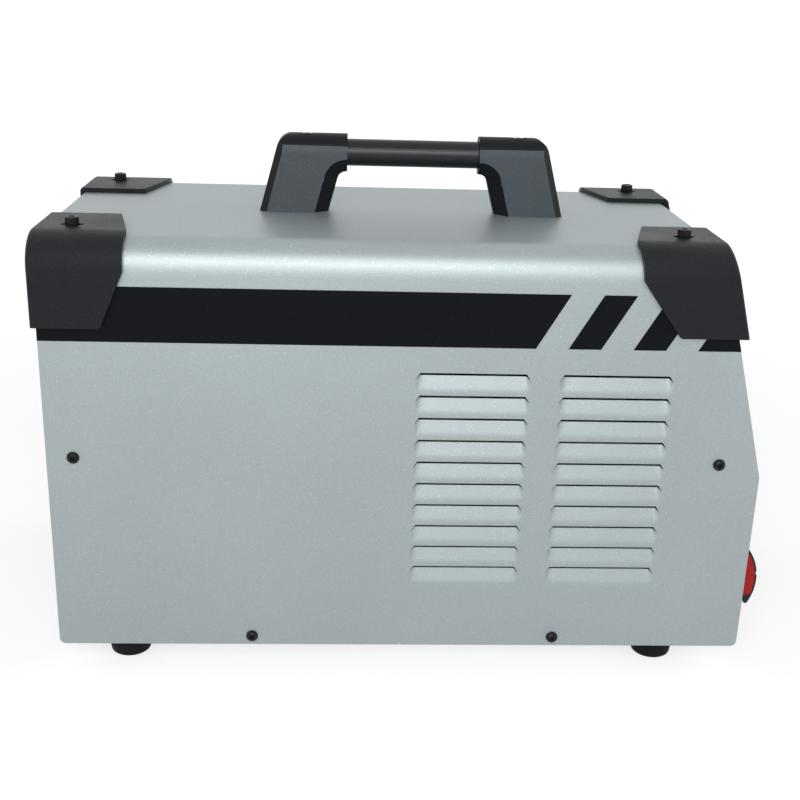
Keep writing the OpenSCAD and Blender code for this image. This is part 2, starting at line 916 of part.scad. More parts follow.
// Side view of a post, outwards from the middle of the handle and upwards from the cover
module post_side() {
    t = tan(post_lean);
    c = cos(post_lean);
    n = sin(post_lean);
    outer = handle_l / 2;
    inner = outer - post_foot;
    under = handle_h - post_w;
    shoulder = [outer - (handle_h - post_r) * t - post_r / c, handle_h - post_r];
    throat = [inner - (under - throat_r) * t - throat_r / c, under - throat_r];
    difference() {
        union() {
            polygon([
                [outer, 0], shoulder + post_r * [c, n], shoulder, shoulder + [0, post_r],
                [grip_l / 2, handle_h], [grip_l / 2, under], throat + [0, throat_r], throat,
                throat + throat_r * [c, n], [inner, 0]
            ]);
            translate(shoulder) circle(post_r);
        }
        translate(throat) circle(throat_r);
    }
}

// Bevels of the inner edges: along the leg, and as a cone round the throat
module inner_bevels() {
    t = tan(post_lean);
    c = cos(post_lean);
    inner = handle_l / 2 - post_foot;
    under = handle_h - post_w;
    throat_x = inner - (under - throat_r) * t - throat_r / c;
    both_sides() {
        translate([throat_x, inner_bevel - post_w / 2, under - throat_r]) rotate([90, 0, 0])
            cylinder(h = inner_bevel, r1 = throat_r, r2 = throat_r + inner_bevel);
        intersection() {
            translate([inner, -post_w / 2, 0]) rotate([0, -post_lean, 0])
                translate([0, 0, -handle_h]) rotate([0, 0, 45])
                    linear_extrude(2 * handle_h) square(inner_bevel * sqrt(2), center = true);
            translate([-handle_l, -post_w, -overrun])
                cube([2 * handle_l, post_w, under - throat_r + overrun]);
        }
    }
}

module outer_bevels() {
    both_sides() translate([handle_l / 2, -post_w / 2, 0]) rotate([0, -post_lean, 0])
        translate([0, 0, -handle_h]) rotate([0, 0, 45])
            linear_extrude(3 * handle_h) square(outer_bevel * sqrt(2), center = true);
}

// A post on the front side of the handle's middle, standing on the ground plane
module post_shape() {
    tube_z = handle_h - post_w / 2;
    difference() {
        intersection() {
            across_y(-post_w / 2, post_w / 2) post_side();
            along_x(0, handle_l) dome(post_w, handle_h);
        }
        inner_bevels();
        outer_bevels();
        translate([0, 0, tube_z]) rod_x(0, grip_l / 2 + tube_seat, tube_d + 2 * seat_gap);
        translate([grip_l / 2 + lock_share * tube_seat, 0, tube_z]) {
            cylinder(h = post_w, d = lock_d + 2 * hole_gap);
            translate([0, 0, post_w / 2 - lock_sink])
                cylinder(h = post_w, d = lock_head_d + 2 * lock_rim);
        }
        for (k = [0, 1]) translate([handle_bolt_x(k), 0, -overrun])
            cylinder(h = handle_bolt_grip + 2 * overrun, d = handle_bolt_d + 2 * hole_gap);
    }
}

module handle_post(m) {
    color("dimgray") part() translate([handle_x, 0, top_z]) mirror([m, 0, 0]) post_shape();
}

module handle_tube() {
    half = grip_l / 2 + tube_seat - seat_gap;
    color("black") part() translate([handle_x, 0, top_z + handle_h - post_w / 2]) difference() {
        rod_x(-half, half, tube_d);
        rod_x(-half - overrun, half + overrun, tube_d - 2 * tube_wall);
        for (s = [-1, 1]) translate([s * (grip_l / 2 + lock_share * tube_seat), 0, 0])
            cylinder(h = tube_d, d = lock_d + 2 * hole_gap);
    }
}

module handle_bolts() {
    head_z = top_z - sheet_t;
    color("silver") part() at_handle_bolts() {
        translate([0, 0, head_z - handle_bolt_head_h])
            cylinder(h = handle_bolt_head_h, d = handle_bolt_head_d, $fn = 6);
        translate([0, 0, head_z - handle_bolt_head_h])
            cylinder(h = handle_bolt_head_h + sheet_t + handle_bolt_grip, d = handle_bolt_d);
    }
}

module handle_lock_screws() {
    color("silver") part() translate([handle_x, 0, top_z + handle_h - lock_sink])
        for (s = [-1, 1]) translate([s * (grip_l / 2 + lock_share * tube_seat), 0, 0]) {
            cylinder(h = lock_head_h, d = lock_head_d);
            translate([0, 0, -lock_l]) cylinder(h = lock_l, d = lock_d);
        }
}

// The long band and the slanted blocks after it; the last block runs to the front edge
module stripe_outline() {
    low = floor_z + stripe_z;
    high = low + stripe_h;
    first = stripe_end + block_pitch - block_w;
    intersection() {
        side_outline();
        union() {
            polygon([
                [-half_l, low], [stripe_end, low], [stripe_end + stripe_slant, high], [-half_l, high]
            ]);
            for (i = [0 : 2]) {
                start = first + i * block_pitch;
                stop = i < 2 ? start + block_w : half_l;
                polygon([
                    [start, low], [stop, low], [stop + stripe_slant, high],
                    [start + stripe_slant, high]
                ]);
            }
        }
    }
}

module stripe(m) {
    color("black") part() mirror([0, m, 0]) across_y(-half_w - film_t, -half_w) stripe_outline();
}

module foot(i) {
    tip = foot_tip_d / 2 - foot_edge_r;
    color("black") part() translate([foot_x(i), foot_y(i), 0]) rotate_extrude() difference() {
        union() {
            polygon([
                [0, foot_edge_r], [foot_tip_d / 2, foot_edge_r], [foot_d / 2, foot_h], [0, foot_h]
            ]);
            square([tip, foot_edge_r]);
            translate([tip, foot_edge_r]) circle(foot_edge_r);
        }
        translate([0, -overrun]) square([foot_head_d / 2 + lock_rim, foot_sink + overrun]);
        translate([0, -overrun])
            square([foot_screw_d / 2 + hole_gap, foot_h + 2 * overrun]);
    }
}

module foot_screws() {
    color("silver") part() for (i = [0 : 3]) translate([foot_x(i), foot_y(i), 0]) {
        translate([0, 0, foot_sink - foot_head_h]) cylinder(h = foot_head_h, d = foot_head_d);
        translate([0, 0, foot_sink - foot_head_h])
            cylinder(h = pan_top + foot_nut_h + foot_head_h - foot_sink, d = foot_screw_d);
        translate([0, 0, pan_top]) cylinder(h = foot_nut_h, d = foot_nut_d, $fn = 6);
    }
}

// Upper or lower end of the switch frame, which rises towards the rocker
module switch_cheek() {
    across_y(-bezel_w / 2, bezel_w / 2) polygon([
        [0, cheek_z], [cheek_out, cheek_z], [cheek_out - cheek_slope, cheek_z + cheek_w / 2],
        [bezel_t, cheek_z + cheek_w], [0, cheek_z + cheek_w]
    ]);
}

module switch_housing() {
    hollow_w = stem_w + 2 * stem_gap;
    hollow_l = body_l - 2 * switch_wall;
    color("black") part() on_front(switch_at, switch_z) difference() {
        union() {
            block(0, bezel_t, bezel_w, bezel_l);
            block(-switch_depth, 0, body_w, body_l);
            switch_cheek();
            mirror([0, 0, 1]) switch_cheek();
        }
        block(-switch_hollow, bezel_t + overrun, hollow_w, hollow_l);
        translate([-pivot_in, 0, 0]) rotate([90, 0, 0])
            cylinder(h = body_w + 2 * overrun, d = pivot_d + 2 * run_gap, center = true);
    }
}

// Side view of the rocker: a round front with a crease, and a back that opens to both ends
module rocker_side() {
    back = bezel_t + rocker_lift;
    end = back + rocker_back_gap + rocker_l / 2 * tan(rocker_swing / 2);
    far = rocker_out + overrun;
    difference() {
        intersection() {
            translate([rocker_out - rocker_r, 0]) circle(rocker_r, $fn = 128);
            polygon([
                [back, 0], [end, rocker_l / 2], [far, rocker_l / 2], [far, -rocker_l / 2],
                [end, -rocker_l / 2]
            ]);
        }
        translate([rocker_out, 0]) rotate(45) square(rocker_groove * sqrt(2), center = true);
    }
}

module switch_rocker() {
    pin_l = stem_w + 2 * (stem_gap + switch_wall) - 2 * seat_gap;
    color("red") part() on_front(switch_at, switch_z) translate([-pivot_in, 0, 0])
        rotate([0, -rocker_swing / 2, 0]) translate([pivot_in, 0, 0]) {
            across_y(-rocker_w / 2, rocker_w / 2) rocker_side();
            across_y(-stem_w / 2, stem_w / 2) polygon([
                [-pivot_in - stem_tail, -stem_tail_l / 2], [bezel_t + rocker_lift, -stem_l / 2],
                [cheek_out, -stem_l / 2], [cheek_out, stem_l / 2],
                [bezel_t + rocker_lift, stem_l / 2], [-pivot_in - stem_tail, stem_tail_l / 2]
            ]);
            translate([-pivot_in, 0, 0]) rotate([90, 0, 0])
                cylinder(h = pin_l, d = pivot_d, center = true);
        }
}

module voltage_knob() {
    low = knob_lift;
    high = knob_lift + knob_h;
    grip = knob_d / 2 - knob_taper;
    color("black") part() on_lean(knob_y, knob_s) difference() {
        turn_x() polygon([
            [0, low], [knob_d / 2, low], [knob_d / 2, low + knob_skirt_h],
            [grip, low + knob_skirt_h + knob_taper], [grip, high - knob_mark_d],
            [grip - knob_mark_d, high], [0, high]
        ]);
        rod_x(low - overrun, low + knob_hollow_h, knob_hollow_d);
        rod_x(low, high - knob_wall, shaft_d + 2 * seat_gap);
        for (i = [0 : knob_flutes - 1]) rotate([(i + 0.5) * 360 / knob_flutes, 0, 0])
            translate([0, 0, grip + knob_flute_d / 4])
                rod_x(low + knob_skirt_h + knob_taper, high + overrun, knob_flute_d);
        translate([high - knob_mark_d, -knob_mark_w / 2, grip / 4])
            cube([knob_mark_d + overrun, knob_mark_w, knob_d]);
    }
}

module knob_shaft() {
    color("silver") part() on_lean(knob_y, knob_s)
        rod_x(-sheet_t - pot_l / 2, knob_lift + knob_h - knob_wall - seat_gap, shaft_d);
}

module potentiometer() {
    color("slategray") part() on_lean(knob_y, knob_s) difference() {
        union() {
            rod_x(-sheet_t - pot_l, -sheet_t, pot_d);
            rod_x(-sheet_t - pot_l, pot_bush_l, pot_bush_d);
            hex_x(0, pot_nut_h, pot_nut_d);
        }
        rod_x(-sheet_t - pot_l / 2 - run_gap, pot_bush_l + overrun, shaft_d + 2 * run_gap);
    }
}

module meter_housing() {
    color("black") part() on_lean(0, meter_s) difference() {
        union() {
            block(0, meter_out, meter_w, meter_h);
            block(-meter_depth, 0, meter_w - 2 * meter_lip, meter_h - 2 * meter_lip);
        }
        block(meter_out - meter_glass_t - seat_gap, meter_out + overrun,
            meter_w - 2 * meter_rim, meter_h - 2 * meter_rim);
    }
}

module meter_window() {
    color("darkred") part() on_lean(0, meter_s)
        block(meter_out - meter_glass_t - seat_gap, meter_out - seat_gap,
            meter_w - 2 * meter_rim - 2 * seat_gap, meter_h - 2 * meter_rim - 2 * seat_gap);
}

// A collar with a round lens in front of the panel, and a barrel with its nut behind it
module lamp(i, tint) {
    color(tint) part() on_lean(-lamp_y, lamp_s + i * lamp_pitch) {
        turn_x() {
            polygon([
                [0, -lamp_body_l], [lamp_lens_d / 2, -lamp_body_l], [lamp_lens_d / 2, 0],
                [lamp_d / 2, 0], [lamp_rim_d / 2, lamp_out], [0, lamp_out]
            ]);
            intersection() {
                translate([0, lamp_out + lamp_lens_out - lamp_lens_d / 2]) circle(d = lamp_lens_d);
                square([lamp_d, lamp_out + lamp_lens_out]);
            }
        }
        hex_x(-sheet_t - lamp_nut_t, -sheet_t, lamp_d);
    }
}

module weld_socket(y) {
    mouth = socket_out - socket_recess;
    seat = contact_d / 2 + seat_gap;
    color("black") part() on_front(y, socket_z) {
        turn_x() polygon([
            [seat, -socket_barrel_l], [socket_barrel_d / 2, -socket_barrel_l],
            [socket_barrel_d / 2, 0], [socket_d / 2, 0],
            [socket_d / 2, socket_out - socket_chamfer],
            [socket_d / 2 - socket_chamfer, socket_out], [socket_mouth_d / 2, socket_out],
            [seat, mouth]
        ]);
        difference() {
            hex_x(-sheet_t - socket_nut_t, -sheet_t, socket_nut_d);
            rod_x(-sheet_t - socket_nut_t - overrun, overrun, socket_barrel_d);
        }
    }
}

module socket_contact(y) {
    mouth = socket_out - socket_recess;
    back = mouth - socket_bore_l - contact_back;
    color("goldenrod") part() on_front(y, socket_z) difference() {
        union() {
            rod_x(back, mouth, contact_d);
            rod_x(back - contact_stud_l, mouth - socket_bore_l, contact_stud_d);
        }
        rod_x(mouth - socket_bore_l, mouth + overrun, socket_bore_d);
        translate([mouth - socket_bore_l / 2, -key_w / 2, 0])
            cube([socket_bore_l, key_w, socket_bore_d / 2 + key_h]);
    }
}

module gun_socket() {
    y = (plus_at - minus_y) / 2;
    color("silver") part() on_front(y, gun_z) {
        turn_x() polygon([
            [gun_d / 2 - gun_wall, -gun_in], [gun_d / 2, -gun_in], [gun_d / 2, 0],
            [gun_flange_d / 2, 0], [gun_flange_d / 2, gun_flange_t], [gun_d / 2, gun_flange_t],
            [gun_d / 2, gun_out], [gun_d / 2 - gun_wall, gun_out]
        ]);
        difference() {
            hex_x(-sheet_t - gun_flange_t, -sheet_t, gun_flange_d);
            rod_x(-sheet_t - gun_flange_t - overrun, overrun, gun_d);
        }
    }
}

module gun_socket_insert() {
    y = (plus_at - minus_y) / 2;
    r = gun_d / 2 - gun_wall - seat_gap;
    color("black") part() on_front(y, gun_z) {
        rod_x(-gun_in, gun_out - gun_recess, 2 * r);
        for (i = [0 : gun_pins - 1]) rotate([45 + i * 360 / gun_pins, 0, 0])
            translate([0, 0, r * gun_pin_share])
                rod_x(-gun_in, gun_out - gun_recess + gun_pin_out, gun_pin_d);
    }
}

// Children at the four corner holes of the fan
module at_fan_holes() {
    for (y = [-1, 1], z = [-1, 1]) translate([0, y * fan_pitch / 2, z * fan_pitch / 2]) children();
}

// Outline of the fan frame: a square with round corners, its round duct and its screw holes
module fan_outline() {
    flat = fan_size - 2 * fan_corner_r;
    difference() {
        union() {
            square([fan_size, flat], center = true);
            square([flat, fan_size], center = true);
            for (y = [-1, 1], z = [-1, 1]) translate([y, z] * flat / 2) circle(fan_corner_r);
        }
        circle(fan_bore_r);
        for (y = [-1, 1], z = [-1, 1]) translate([y, z] * fan_pitch / 2)
            circle(fan_screw_d / 2 + hole_gap);
    }
}

module fan_frame() {
    back = -sheet_t - fan_depth;
    inner = fan_hub_d / 4;
    color("black") part() on_rear(0, fan_z) difference() {
        union() {
            along_x(back, -sheet_t) fan_outline();
            rod_x(back, back + fan_motor_l, fan_hub_d);
            for (i = [0 : 2]) rotate([i * 120, 0, 0])
                translate([back + fan_strut_in, -fan_strut_w / 2, inner])
                    cube([fan_strut_t, fan_strut_w, fan_bore_r + fan_wall / 2 - inner]);
        }
        rod_x(back + fan_motor_l - fan_shaft_l - run_gap, 0, fan_shaft_d + 2 * run_gap);
    }
}

module fan_rotor() {
    front = -sheet_t - fan_front_gap;
    back = -sheet_t - fan_depth + fan_motor_l + fan_rear_gap;
    color("dimgray") part() on_rear(0, fan_z) {
        rod_x(back, front, fan_hub_d);
        rod_x(back - fan_rear_gap - fan_shaft_l, back, fan_shaft_d);
        intersection() {
            for (i = [0 : fan_blades - 1]) rotate([i * 360 / fan_blades, 0, 0])
                translate([(front + back) / 2, 0, fan_hub_d / 4]) rotate([0, 0, blade_pitch])
                    translate([-blade_chord / 2, -blade_t / 2, 0])
                        cube([blade_chord, blade_t, fan_bore_r]);
            rod_x(back, front, 2 * (fan_bore_r - fan_tip_gap));
        }
    }
}

// Wire rings on two crossing pairs of spokes, which end in eyelets under the fan's screws
module fan_grille() {
    ring_x = wire_stand + wire_d * wire_bite_share;
    step = (1 - grille_inner_share) / (grille_rings - 1);
    corner = fan_pitch / sqrt(2);
    hub = fan_bore_r * grille_inner_share;
    color("silver") part() on_rear(0, fan_z) {
        for (i = [0 : grille_rings - 1]) turn_x()
            translate([fan_bore_r * (grille_inner_share + i * step), ring_x])
                square(wire_d, center = true);
        for (i = [0 : 3]) rotate([45 + i * 90, 0, 0]) translate([wire_stand, 0, hub])
            block_up(wire_d, corner - eyelet_d / 2 + wire_d - hub);
        at_fan_holes() difference() {
            rod_x(0, eyelet_h, eyelet_d);
            rod_x(-overrun, eyelet_h + overrun, fan_screw_d + 2 * hole_gap);
        }
    }
}

module fan_screws() {
    back = -sheet_t - fan_depth;
    color("silver") part() on_rear(0, fan_z) at_fan_holes() {
        rod_x(eyelet_h, eyelet_h + fan_head_h, fan_head_d);
        rod_x(back - fan_nut_h, eyelet_h, fan_screw_d);
        hex_x(back - fan_nut_h, back, fan_nut_d);
    }
}

module cable_gland() {
    color("black") part() on_rear(gland_at, gland_z) difference() {
        union() {
            rod_x(-sheet_t - gland_in, gland_hex_l, gland_thread_d);
            hex_x(0, gland_hex_l, gland_hex_d);
            turn_x() polygon([
                [0, gland_hex_l], [gland_cap_d / 2, gland_hex_l],
                [gland_cap_d / 2, gland_hex_l + gland_cap_l], [gland_tip_d / 2, gland_out],
                [0, gland_out]
            ]);
            hex_x(-sheet_t - gland_nut_t, -sheet_t, gland_hex_d);
        }
        rod_x(-sheet_t - gland_in - overrun, gland_out + overrun, gland_bore_d);
    }
}

module earth_stud() {
    outer = earth_washer_t + earth_nut_t;
    inner = -sheet_t - earth_washer_t - earth_nut_t;
    color("goldenrod") part() on_rear(earth_y, earth_z) {
        rod_x(inner - earth_in, outer + earth_free, earth_d);
        rod_x(0, earth_washer_t, earth_washer_d);
        hex_x(earth_washer_t, outer, earth_nut_d);
        rod_x(-sheet_t - earth_washer_t, -sheet_t, earth_washer_d);
        hex_x(inner, -sheet_t - earth_washer_t, earth_nut_d);
    }
}

// A can with a rolled upper rim and two screw posts
module capacitor(i) {
    low = pan_top + tray_t;
    r = cap_d / 2;
    color("steelblue") part() translate([cap_x_at(i), cap_y_at(i), low]) {
        rotate_extrude() difference() {
            union() {
                square([r - cap_edge_r, cap_h]);
                translate([0, cap_edge_r]) square([r, cap_h - cap_edge_r - cap_rim_d]);
                translate([0, cap_h / 2]) square([r - cap_rim_d / 2, cap_h / 2]);
                translate([r - cap_edge_r, cap_edge_r]) circle(cap_edge_r);
                translate([r - cap_rim_d / 2, cap_h - cap_rim_d / 2]) circle(d = cap_rim_d);
            }
            translate([r, cap_h - 2 * cap_rim_d]) circle(d = cap_rim_d);
        }
        for (s = [-1, 1]) translate([0, s * cap_post_span / 2, cap_h - cap_rim_d])
            cylinder(h = cap_post_h + cap_rim_d, d = cap_post_d);
    }
}

module capacitor_tray() {
    outer = cap_pitch + cap_d + 2 * (cap_gap + tray_ring_t + tray_edge);
    ring = cap_d + 2 * cap_gap;
    color("darkslategray") part() difference() {
        translate([-cap_x, 0, pan_top]) {
            translate([-outer / 2, -outer / 2, 0]) cube([outer, outer, tray_t]);
            for (i = [0 : 3]) translate([cap_x_at(i) + cap_x, cap_y_at(i), 0]) difference() {
                cylinder(h = tray_t + tray_ring_h, d = ring + 2 * tray_ring_t);
                translate([0, 0, tray_t]) cylinder(h = tray_ring_h + overrun, d = ring);
            }
        }
        for (i = [0 : 3]) translate([foot_x(i), foot_y(i), pan_top - overrun])
            cylinder(h = tray_t + tray_ring_h + 2 * overrun, d = foot_nut_d + 2 * hole_gap);
    }
}

// Flat bar on the inner posts of the capacitors that runs forward to the thyristor's first post
module busbar_plus() {
    post_y = cap_pitch / 2 - cap_post_span / 2;
    first = thyristor_post_x(0) - bar_w / 2;
    low = thyristor_post_z - bar_w / 2;
    near = min(post_y, thyristor_face_y - bar_t);
    far = max(post_y, thyristor_face_y);
    color("peru") part() {
        for (y = [-post_y, post_y]) translate([cap_x_at(0) - bar_w / 2, y - bar_w / 2, bar_z])
            cube([cap_pitch + bar_w, bar_w, bar_t]);
        translate([-cap_x - bar_w / 2, -post_y, bar_z]) cube([bar_w, 2 * post_y, bar_t]);
        translate([cap_x_at(2), post_y - bar_w / 2, bar_z])
            cube([first + bar_w - cap_x_at(2), bar_w, bar_t]);
        translate([first, near, bar_z]) cube([bar_w, far - near, bar_t]);
        translate([first, thyristor_face_y - bar_t, low]) cube([bar_w, bar_t, bar_z + bar_t - low]);
    }
}

// Flat bar from the thyristor's last post to the stud of the positive socket
module busbar_output() {
    last = thyristor_post_x(thyristor_posts - 1) - bar_w / 2;
    low = thyristor_post_z - bar_w / 2;
    near_y = thyristor_face_y - bar_t;
    color("peru") part() difference() {
        union() {
            translate([last, near_y, low]) cube([stud_bar_x + bar_t - last, bar_t, bar_w]);
            translate([stud_bar_x, near_y, low]) cube([bar_t, plus_at + bar_w / 2 - near_y, bar_w]);
        }
        on_front(plus_at, socket_z)
            rod_x(-half_l, 0, contact_stud_d + 2 * hole_gap);
    }
}

// Flat bar on the outer posts of the capacitors that runs to the stud of the negative socket
module busbar_minus() {
    post_y = cap_pitch / 2 + cap_post_span / 2;
    rear = cap_x_at(0) - cap_post_d - bar_w;
    low = floor_z + socket_z - bar_w / 2;
    front = stud_bar_x + bar_t;
    color("peru") part() difference() {
        union() {
            for (y = [-post_y, post_y]) translate([rear, y - bar_w / 2, bar_z])
                cube([cap_x_at(2) + bar_w / 2 - rear, bar_w, bar_t]);
            translate([rear, -post_y, bar_z]) cube([bar_w, 2 * post_y, bar_t]);
            translate([cap_x_at(2), -post_y - bar_w / 2, bar_z])
                cube([front - cap_x_at(2), bar_w, bar_t]);
            translate([front - bar_w, -post_y, bar_z]) cube([bar_w, post_y - minus_y, bar_t]);
            translate([stud_bar_x, -minus_y - bar_w / 2, low])
                cube([bar_t, bar_w, bar_z + bar_t - low]);
        }
        on_front(-minus_y, socket_z) rod_x(-half_l, 0, contact_stud_d + 2 * hole_gap);
    }
}

// A laminated core with two windows, round which the coil is wound on the middle limb
module transformer_core() {
    limb = core_l * core_limb_share;
    window = (core_l - 2 * limb) / 2 - limb / 2;
    color("slategray") part() translate([core_x, core_y, pan_top]) difference() {
        union() {
            translate([-core_l / 2, -core_w / 2, 0]) cube([core_l, core_w, core_h]);
            translate([-core_l / 2, -core_w / 2 - limb / 2, 0])
                cube([core_l, core_w + limb, core_foot_t]);
        }
        for (s = [-1, 1]) translate([s * (limb / 2 + window / 2) - window / 2, -core_w, limb / 2])
            cube([window, 2 * core_w, core_h - limb]);
    }
}

module transformer_coil() {
    limb = core_l * core_limb_share;
    window = (core_l - 2 * limb) / 2 - limb / 2;
    half_x = limb / 2 + window - coil_gap;
    half_y = core_w / 2 + coil_t;
    high = core_h - limb - 2 * coil_gap;
    color("peru") part() translate([core_x, core_y, pan_top + limb / 2 + coil_gap]) difference() {
        translate([-half_x, -half_y, 0]) cube([2 * half_x, 2 * half_y, high]);
        translate([-limb / 2 - coil_gap, -core_w / 2 - coil_gap, -overrun])
            cube([limb + 2 * coil_gap, core_w + 2 * coil_gap, high + 2 * overrun]);
    }
}

module heat_sink() {
    pitch = (sink_l - sink_fin_t) / (sink_fins - 1);
    color("lightgray") part() translate([sink_x, sink_y - sink_base_t, pan_top]) {
        cube([sink_l, sink_base_t, sink_h]);
        for (i = [0 : sink_fins - 1]) translate([i * pitch, 0, 0])
            cube([sink_fin_t, sink_base_t + sink_fin_d, sink_h]);
    }
}

module thyristor() {
    color("black") part() {
        translate([sink_x, thyristor_face_y + thyristor_post_h, pan_top + thyristor_z])
            cube([thyristor_l, thyristor_t, thyristor_w]);
        for (i = [0 : thyristor_posts - 1])
            translate([thyristor_post_x(i), thyristor_face_y, thyristor_post_z]) rotate([-90, 0, 0])
                cylinder(h = thyristor_post_h, d = thyristor_post_d);
    }
}

module rectifier() {
    color("black") part()
        translate([sink_x, sink_y - sink_base_t - rectifier_t, pan_top + rectifier_z]) {
            cube([rectifier_l, rectifier_t, rectifier_l]);
            for (i = [0 : 1], k = [0 : 1])
                translate([(i + 0.5) * rectifier_l / 2 - rectifier_leg_w / 2, -rectifier_leg_h,
                    (k + 0.5) * rectifier_l / 2])
                    cube([rectifier_leg_w, rectifier_leg_h, rectifier_leg_t]);
        }
}

// A ribbed body on a flat foot, with a solder pin at each end
module bleeder_resistor() {
    rib_pitch = resistor_h / resistor_rib_n;
    color("goldenrod") part() translate([resistor_x, 0, pan_top]) {
        translate([-resistor_foot_w / 2, -resistor_l / 2, 0])
            cube([resistor_foot_w, resistor_l, resistor_foot_t]);
        translate([-resistor_w / 2, -resistor_l / 2, 0]) cube([resistor_w, resistor_l, resistor_h]);
        for (i = [1 : resistor_rib_n - 1])
            translate([-resistor_w / 2 - resistor_rib_d, -resistor_l / 2,
                resistor_foot_t + i * rib_pitch - resistor_rib_t])
                cube([resistor_w + 2 * resistor_rib_d, resistor_l, resistor_rib_t]);
        translate([0, -resistor_l / 2 - resistor_pin_l, resistor_h / 2]) rotate([-90, 0, 0])
            cylinder(h = resistor_l + 2 * resistor_pin_l, d = resistor_pin_d);
    }
}

// Children at the corners of the control board, in the plane of the leaning panel
module at_board_corners() {
    for (y = [-1, 1], z = [-1, 1])
        on_lean(y * (board_w / 2 - standoff_in), board_s + z * (board_h / 2 - standoff_in)) children();
}

module control_board() {
    color("green") part() difference() {
        on_lean(0, board_s) {
            block(-board_gap - board_t, -board_gap, board_w, board_h);
            translate([-board_gap - board_t - relay_h, -board_w * relay_share, 0])
                block(0, relay_h, relay_l, relay_w);
            translate([-board_gap - board_t - chip_h, board_w * relay_share, 0])
                block(0, chip_h, chip_l, chip_w);
        }
        at_board_corners() rod_x(-board_gap - board_t - overrun, overrun - board_gap,
            standoff_stud_d + 2 * hole_gap);
    }
}

module board_standoffs() {
    color("silver") part() at_board_corners() {
        rod_x(-board_gap, -sheet_t, standoff_d);
        rod_x(-board_gap - board_t - standoff_nut_t, -board_gap, standoff_stud_d);
        hex_x(-board_gap - board_t - standoff_nut_t, -board_gap - board_t, standoff_d);
    }
}

guard_names = ["guard_rear_left", "guard_rear_right", "guard_front_left", "guard_front_right"];
foot_names = ["foot_rear_left", "foot_rear_right", "foot_front_left", "foot_front_right"];
cap_names = ["capacitor_1", "capacitor_2", "capacitor_3", "capacitor_4"];

case_cover();
base_pan();
front_panel();
rear_panel();
for (i = [0 : 3]) {
    corner_guard(i);
    foot(i);
    capacitor(i);
}
guard_screws();
cover_screws();
handle_post(1);  // handle_post_rear
handle_post(0);  // handle_post_front
handle_tube();
handle_bolts();
handle_lock_screws();
stripe(0);  // stripe_left
stripe(1);  // stripe_right
foot_screws();
switch_housing();
switch_rocker();
voltage_knob();
knob_shaft();
potentiometer();
meter_housing();
meter_window();
lamp(0, "green");  // power_lamp
lamp(1, "orange");  // ready_lamp
weld_socket(-minus_y);  // weld_socket_minus
weld_socket(plus_at);  // weld_socket_plus
socket_contact(-minus_y);  // socket_contact_minus
socket_contact(plus_at);  // socket_contact_plus
gun_socket();
gun_socket_insert();
fan_frame();
fan_rotor();
fan_grille();
fan_screws();
cable_gland();
earth_stud();
capacitor_tray();
busbar_plus();
busbar_minus();
busbar_output();
transformer_core();
transformer_coil();
heat_sink();
thyristor();
rectifier();
bleeder_resistor();
control_board();
board_standoffs();
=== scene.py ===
from math import asin, atan2, copysign, cos, hypot, pi, radians, sin, sqrt, tan

import bmesh
import bpy
from bmesh import ops
from bmesh.types import BMEdge, BMFace, BMVert
from mathutils import Matrix, Vector


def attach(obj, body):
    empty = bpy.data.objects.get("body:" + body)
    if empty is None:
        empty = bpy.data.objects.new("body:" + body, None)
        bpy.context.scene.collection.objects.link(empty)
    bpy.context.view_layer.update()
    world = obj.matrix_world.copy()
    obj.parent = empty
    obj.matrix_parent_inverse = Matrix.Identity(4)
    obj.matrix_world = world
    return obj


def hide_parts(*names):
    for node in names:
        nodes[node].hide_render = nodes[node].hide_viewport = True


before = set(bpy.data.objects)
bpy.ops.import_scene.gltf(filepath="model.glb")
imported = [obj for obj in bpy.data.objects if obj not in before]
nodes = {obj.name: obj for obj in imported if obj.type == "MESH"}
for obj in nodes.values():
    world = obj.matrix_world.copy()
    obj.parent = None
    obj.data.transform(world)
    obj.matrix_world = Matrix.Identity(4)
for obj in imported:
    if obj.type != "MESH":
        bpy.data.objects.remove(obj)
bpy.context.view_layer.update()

mm = 0.001  # pieces are drawn in millimetres and brought to metres at the end
# middle of the case along X, its panels' distance from there and its lower rim
caseX, panelX, caseLow = 5.0, 228.0, 16.0
lean, leanZ = radians(15), 141.737  # the upper front panel leans back from this height
print("frame loaded:", len(nodes), "nodes")


# camera, floor and light

viewpoint = {"place": (-37.56, -817.56, 445.62), "pitch": 0.3441, "yaw": -0.0507, "roll": 0.031, "lens": 53.54}
studio = {
    "worldLevel": 0.36,  # what the open room adds to every side
    "floorColor": (0.5, 0.5, 0.5, 1), "floorHalf": 60.0,
    # the floor's glow near the part and far off, only for the eye and for reflections
    "floorGlow": {"near": 0.66, "far": 0.9, "from": 0.5, "to": 2.2},
    "aim": (0, 0, 0.15),
    # place, width, height and watts of each lamp
    "lamps": {
        "keyBox": ((-0.13, -1.5, 0.98), 1.4, 1.4, 13.8),
        "flashStrip": ((-0.15, -1.5, 0.98), 1.0, 0.15, 3.0),
        "rearFill": ((-1.9, 1.1, 1.3), 1.2, 1.2, 6),
        "frontFill": ((2.1, 0.5, 1.2), 1.2, 1.2, 8),
    },
}


def at(x, y, z):
    return Matrix.Translation((x, y, z))


def turned(angle, axis):
    return Matrix.Rotation(angle, 4, axis)


def put(tree, kind, inputs=None, **settings):
    node = tree.nodes.new("ShaderNode" + kind)
    for name, value in settings.items():
        setattr(node, name, value)
    for socket, value in (inputs or {}).items():
        if isinstance(value, bpy.types.NodeSocket):
            tree.links.new(value, node.inputs[socket])
        else:
            node.inputs[socket].default_value = value
    return node


def calc(tree, operation, a, b):
    return put(tree, "Math", {0: a, 1: b}, operation=operation).outputs[0]


